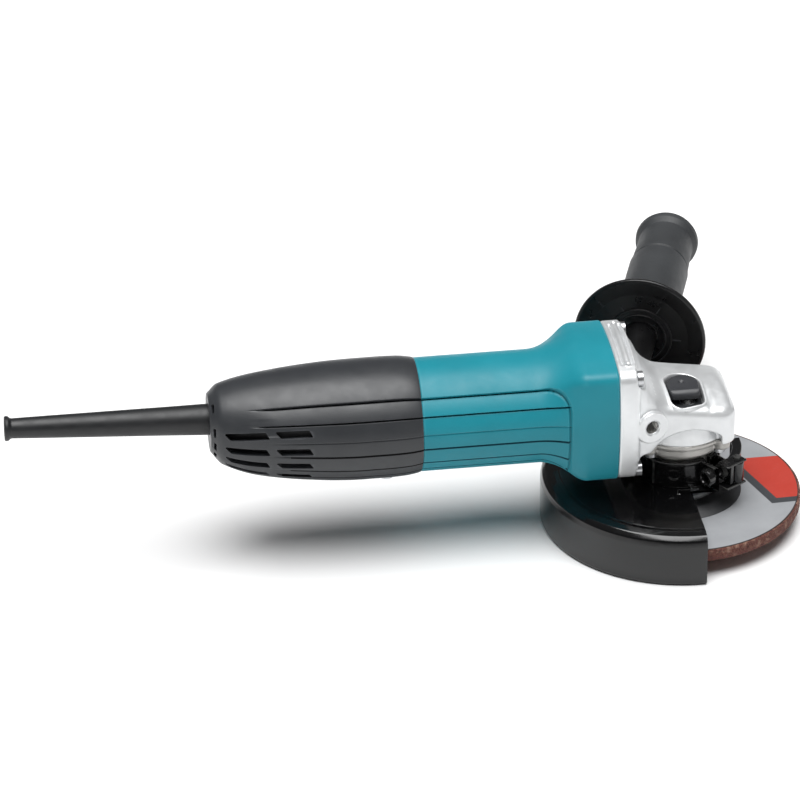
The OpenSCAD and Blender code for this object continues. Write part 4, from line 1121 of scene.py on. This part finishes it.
def switch_slide():
    def field(x, y, z):
        about = np.hypot(y, z - AXIS_Z)
        angle = np.degrees(np.arctan2(z - AXIS_Z, y))
        ends = np.maximum(-112 - x, x + 80)
        edge = (np.abs(angle) - 13) * 0.5
        ribs = 0.45 * np.cos(2 * math.pi * x / 3.4) * step_up(11 - np.abs(x + 91), 0, 2)
        body = soft_max(np.maximum(28.85 - about, about - 31.1 - ribs), soft_max(ends, edge, 2.0), 1.0)
        foot = block((x, y, z), (-105.0, 24.0, AXIS_Z - 2.9), (-94.8, 29.2, AXIS_Z + 2.9), 0.4)
        return soft_min(body, foot, 0.4)

    mesh = iso_surface("switch_cap", field, (-113, 23, 41), (-79, 32.3, 59), 0.4)
    piece("switch_cap", mesh, "power_switch", "button_plastic", ["switch_button"], crease=40)


# --- make everything ------------------------------------------------------------------------

motor_shell()
rear_shell()
cord_sleeve()
gear_head()
bearing_neck()
shaft_lock()
wheel()
guard_shell()
clamp_parts()
side_handle()
switch_slide()

for name, node in frame["nodes"].items():
    node.data.materials.clear()
    node.data.materials.append(MATERIALS[SLOT_OF[name]])


# --- floor, light and camera ------------------------------------------------------------------

def make_floor():
    mesh = bpy.data.meshes.new("floor")
    mesh.from_pydata([(-6, -6, 0), (6, -6, 0), (6, 6, 0), (-6, 6, 0)], [], [(0, 1, 2, 3)])
    floor = bpy.data.objects.new("floor", mesh)
    floor.location = (0, 0, CAD_BOUNDS[0][2] - 0.0002)
    s = Shader("floor_paper")
    paper = s.ramp(s.noise(2.0), [(0.3, (0.86, 0.86, 0.86, 1)), (0.7, (0.9, 0.9, 0.9, 1))])
    s.feed(Base_Color=paper, Roughness=0.9)
    mesh.materials.append(s.material)
    bpy.context.scene.collection.objects.link(floor)


def make_light(name, towards, strength, spread):
    """Large soft lamp shining from a direction."""
    data = bpy.data.lights.new(name, "SUN")
    data.energy = strength
    data.angle = math.radians(spread)
    lamp = bpy.data.objects.new(name, data)
    lamp.rotation_euler = Vector(towards).to_track_quat("Z", "Y").to_euler()
    bpy.context.scene.collection.objects.link(lamp)


def make_world():
    world = bpy.data.worlds.new("studio")
    world.use_nodes = True
    tree = world.node_tree
    where = tree.nodes.new("ShaderNodeTexCoord")
    split = tree.nodes.new("ShaderNodeSeparateXYZ")
    ramp = tree.nodes.new("ShaderNodeValToRGB")
    tree.links.new(where.outputs["Generated"], split.inputs[0])
    tree.links.new(split.outputs[2], ramp.inputs[0])
    tree.links.new(ramp.outputs[0], tree.nodes["Background"].inputs[0])
    levels = [(0.0, 0.14), (0.2, 0.12), (0.6, 0.12), (1.0, 0.25)]
    fill_ramp(ramp, [(place, (level, level, level * 1.01, 1)) for place, level in levels])
    tree.nodes["Background"].inputs[1].default_value = 1.0
    bpy.context.scene.world = world


def make_camera():
    """Long-lens view from the near side, slightly rolled; it looks past the part's middle."""
    azimuth, elevation, roll = math.radians(-8.734), math.radians(30.65), -0.011917
    back = Vector((math.sin(azimuth) * math.cos(elevation), -math.cos(azimuth) * math.cos(elevation),
                   math.sin(elevation)))
    right = Vector((math.cos(azimuth), math.sin(azimuth), 0))
    up = back.cross(right)
    centre = Vector((-90, 0, 25.6))
    place = centre + back * 2200
    aim = centre - right * 51.035 + up * 24.967
    data = bpy.data.cameras.new("camera")
    data.lens = 197.213
    data.sensor_width = 36
    data.clip_start, data.clip_end = 0.1, 30
    camera = bpy.data.objects.new("camera", data)
    ahead = (aim - place).normalized()
    side = ahead.cross(Vector((0, 0, 1))).normalized()
    rise = side.cross(ahead)
    side, rise = (side * math.cos(roll) + rise * math.sin(roll), rise * math.cos(roll) - side * math.sin(roll))
    turn = Matrix((side, rise, -ahead)).transposed().to_4x4()
    camera.matrix_world = Matrix.Translation(place * MM) @ turn
    bpy.context.scene.collection.objects.link(camera)
    bpy.context.scene.camera = camera


make_floor()
make_world()
make_light("overhead", (-0.03, -0.1, 1.0), 4.2, 50)
make_camera()
bpy.context.scene.view_settings.view_transform = "Standard"
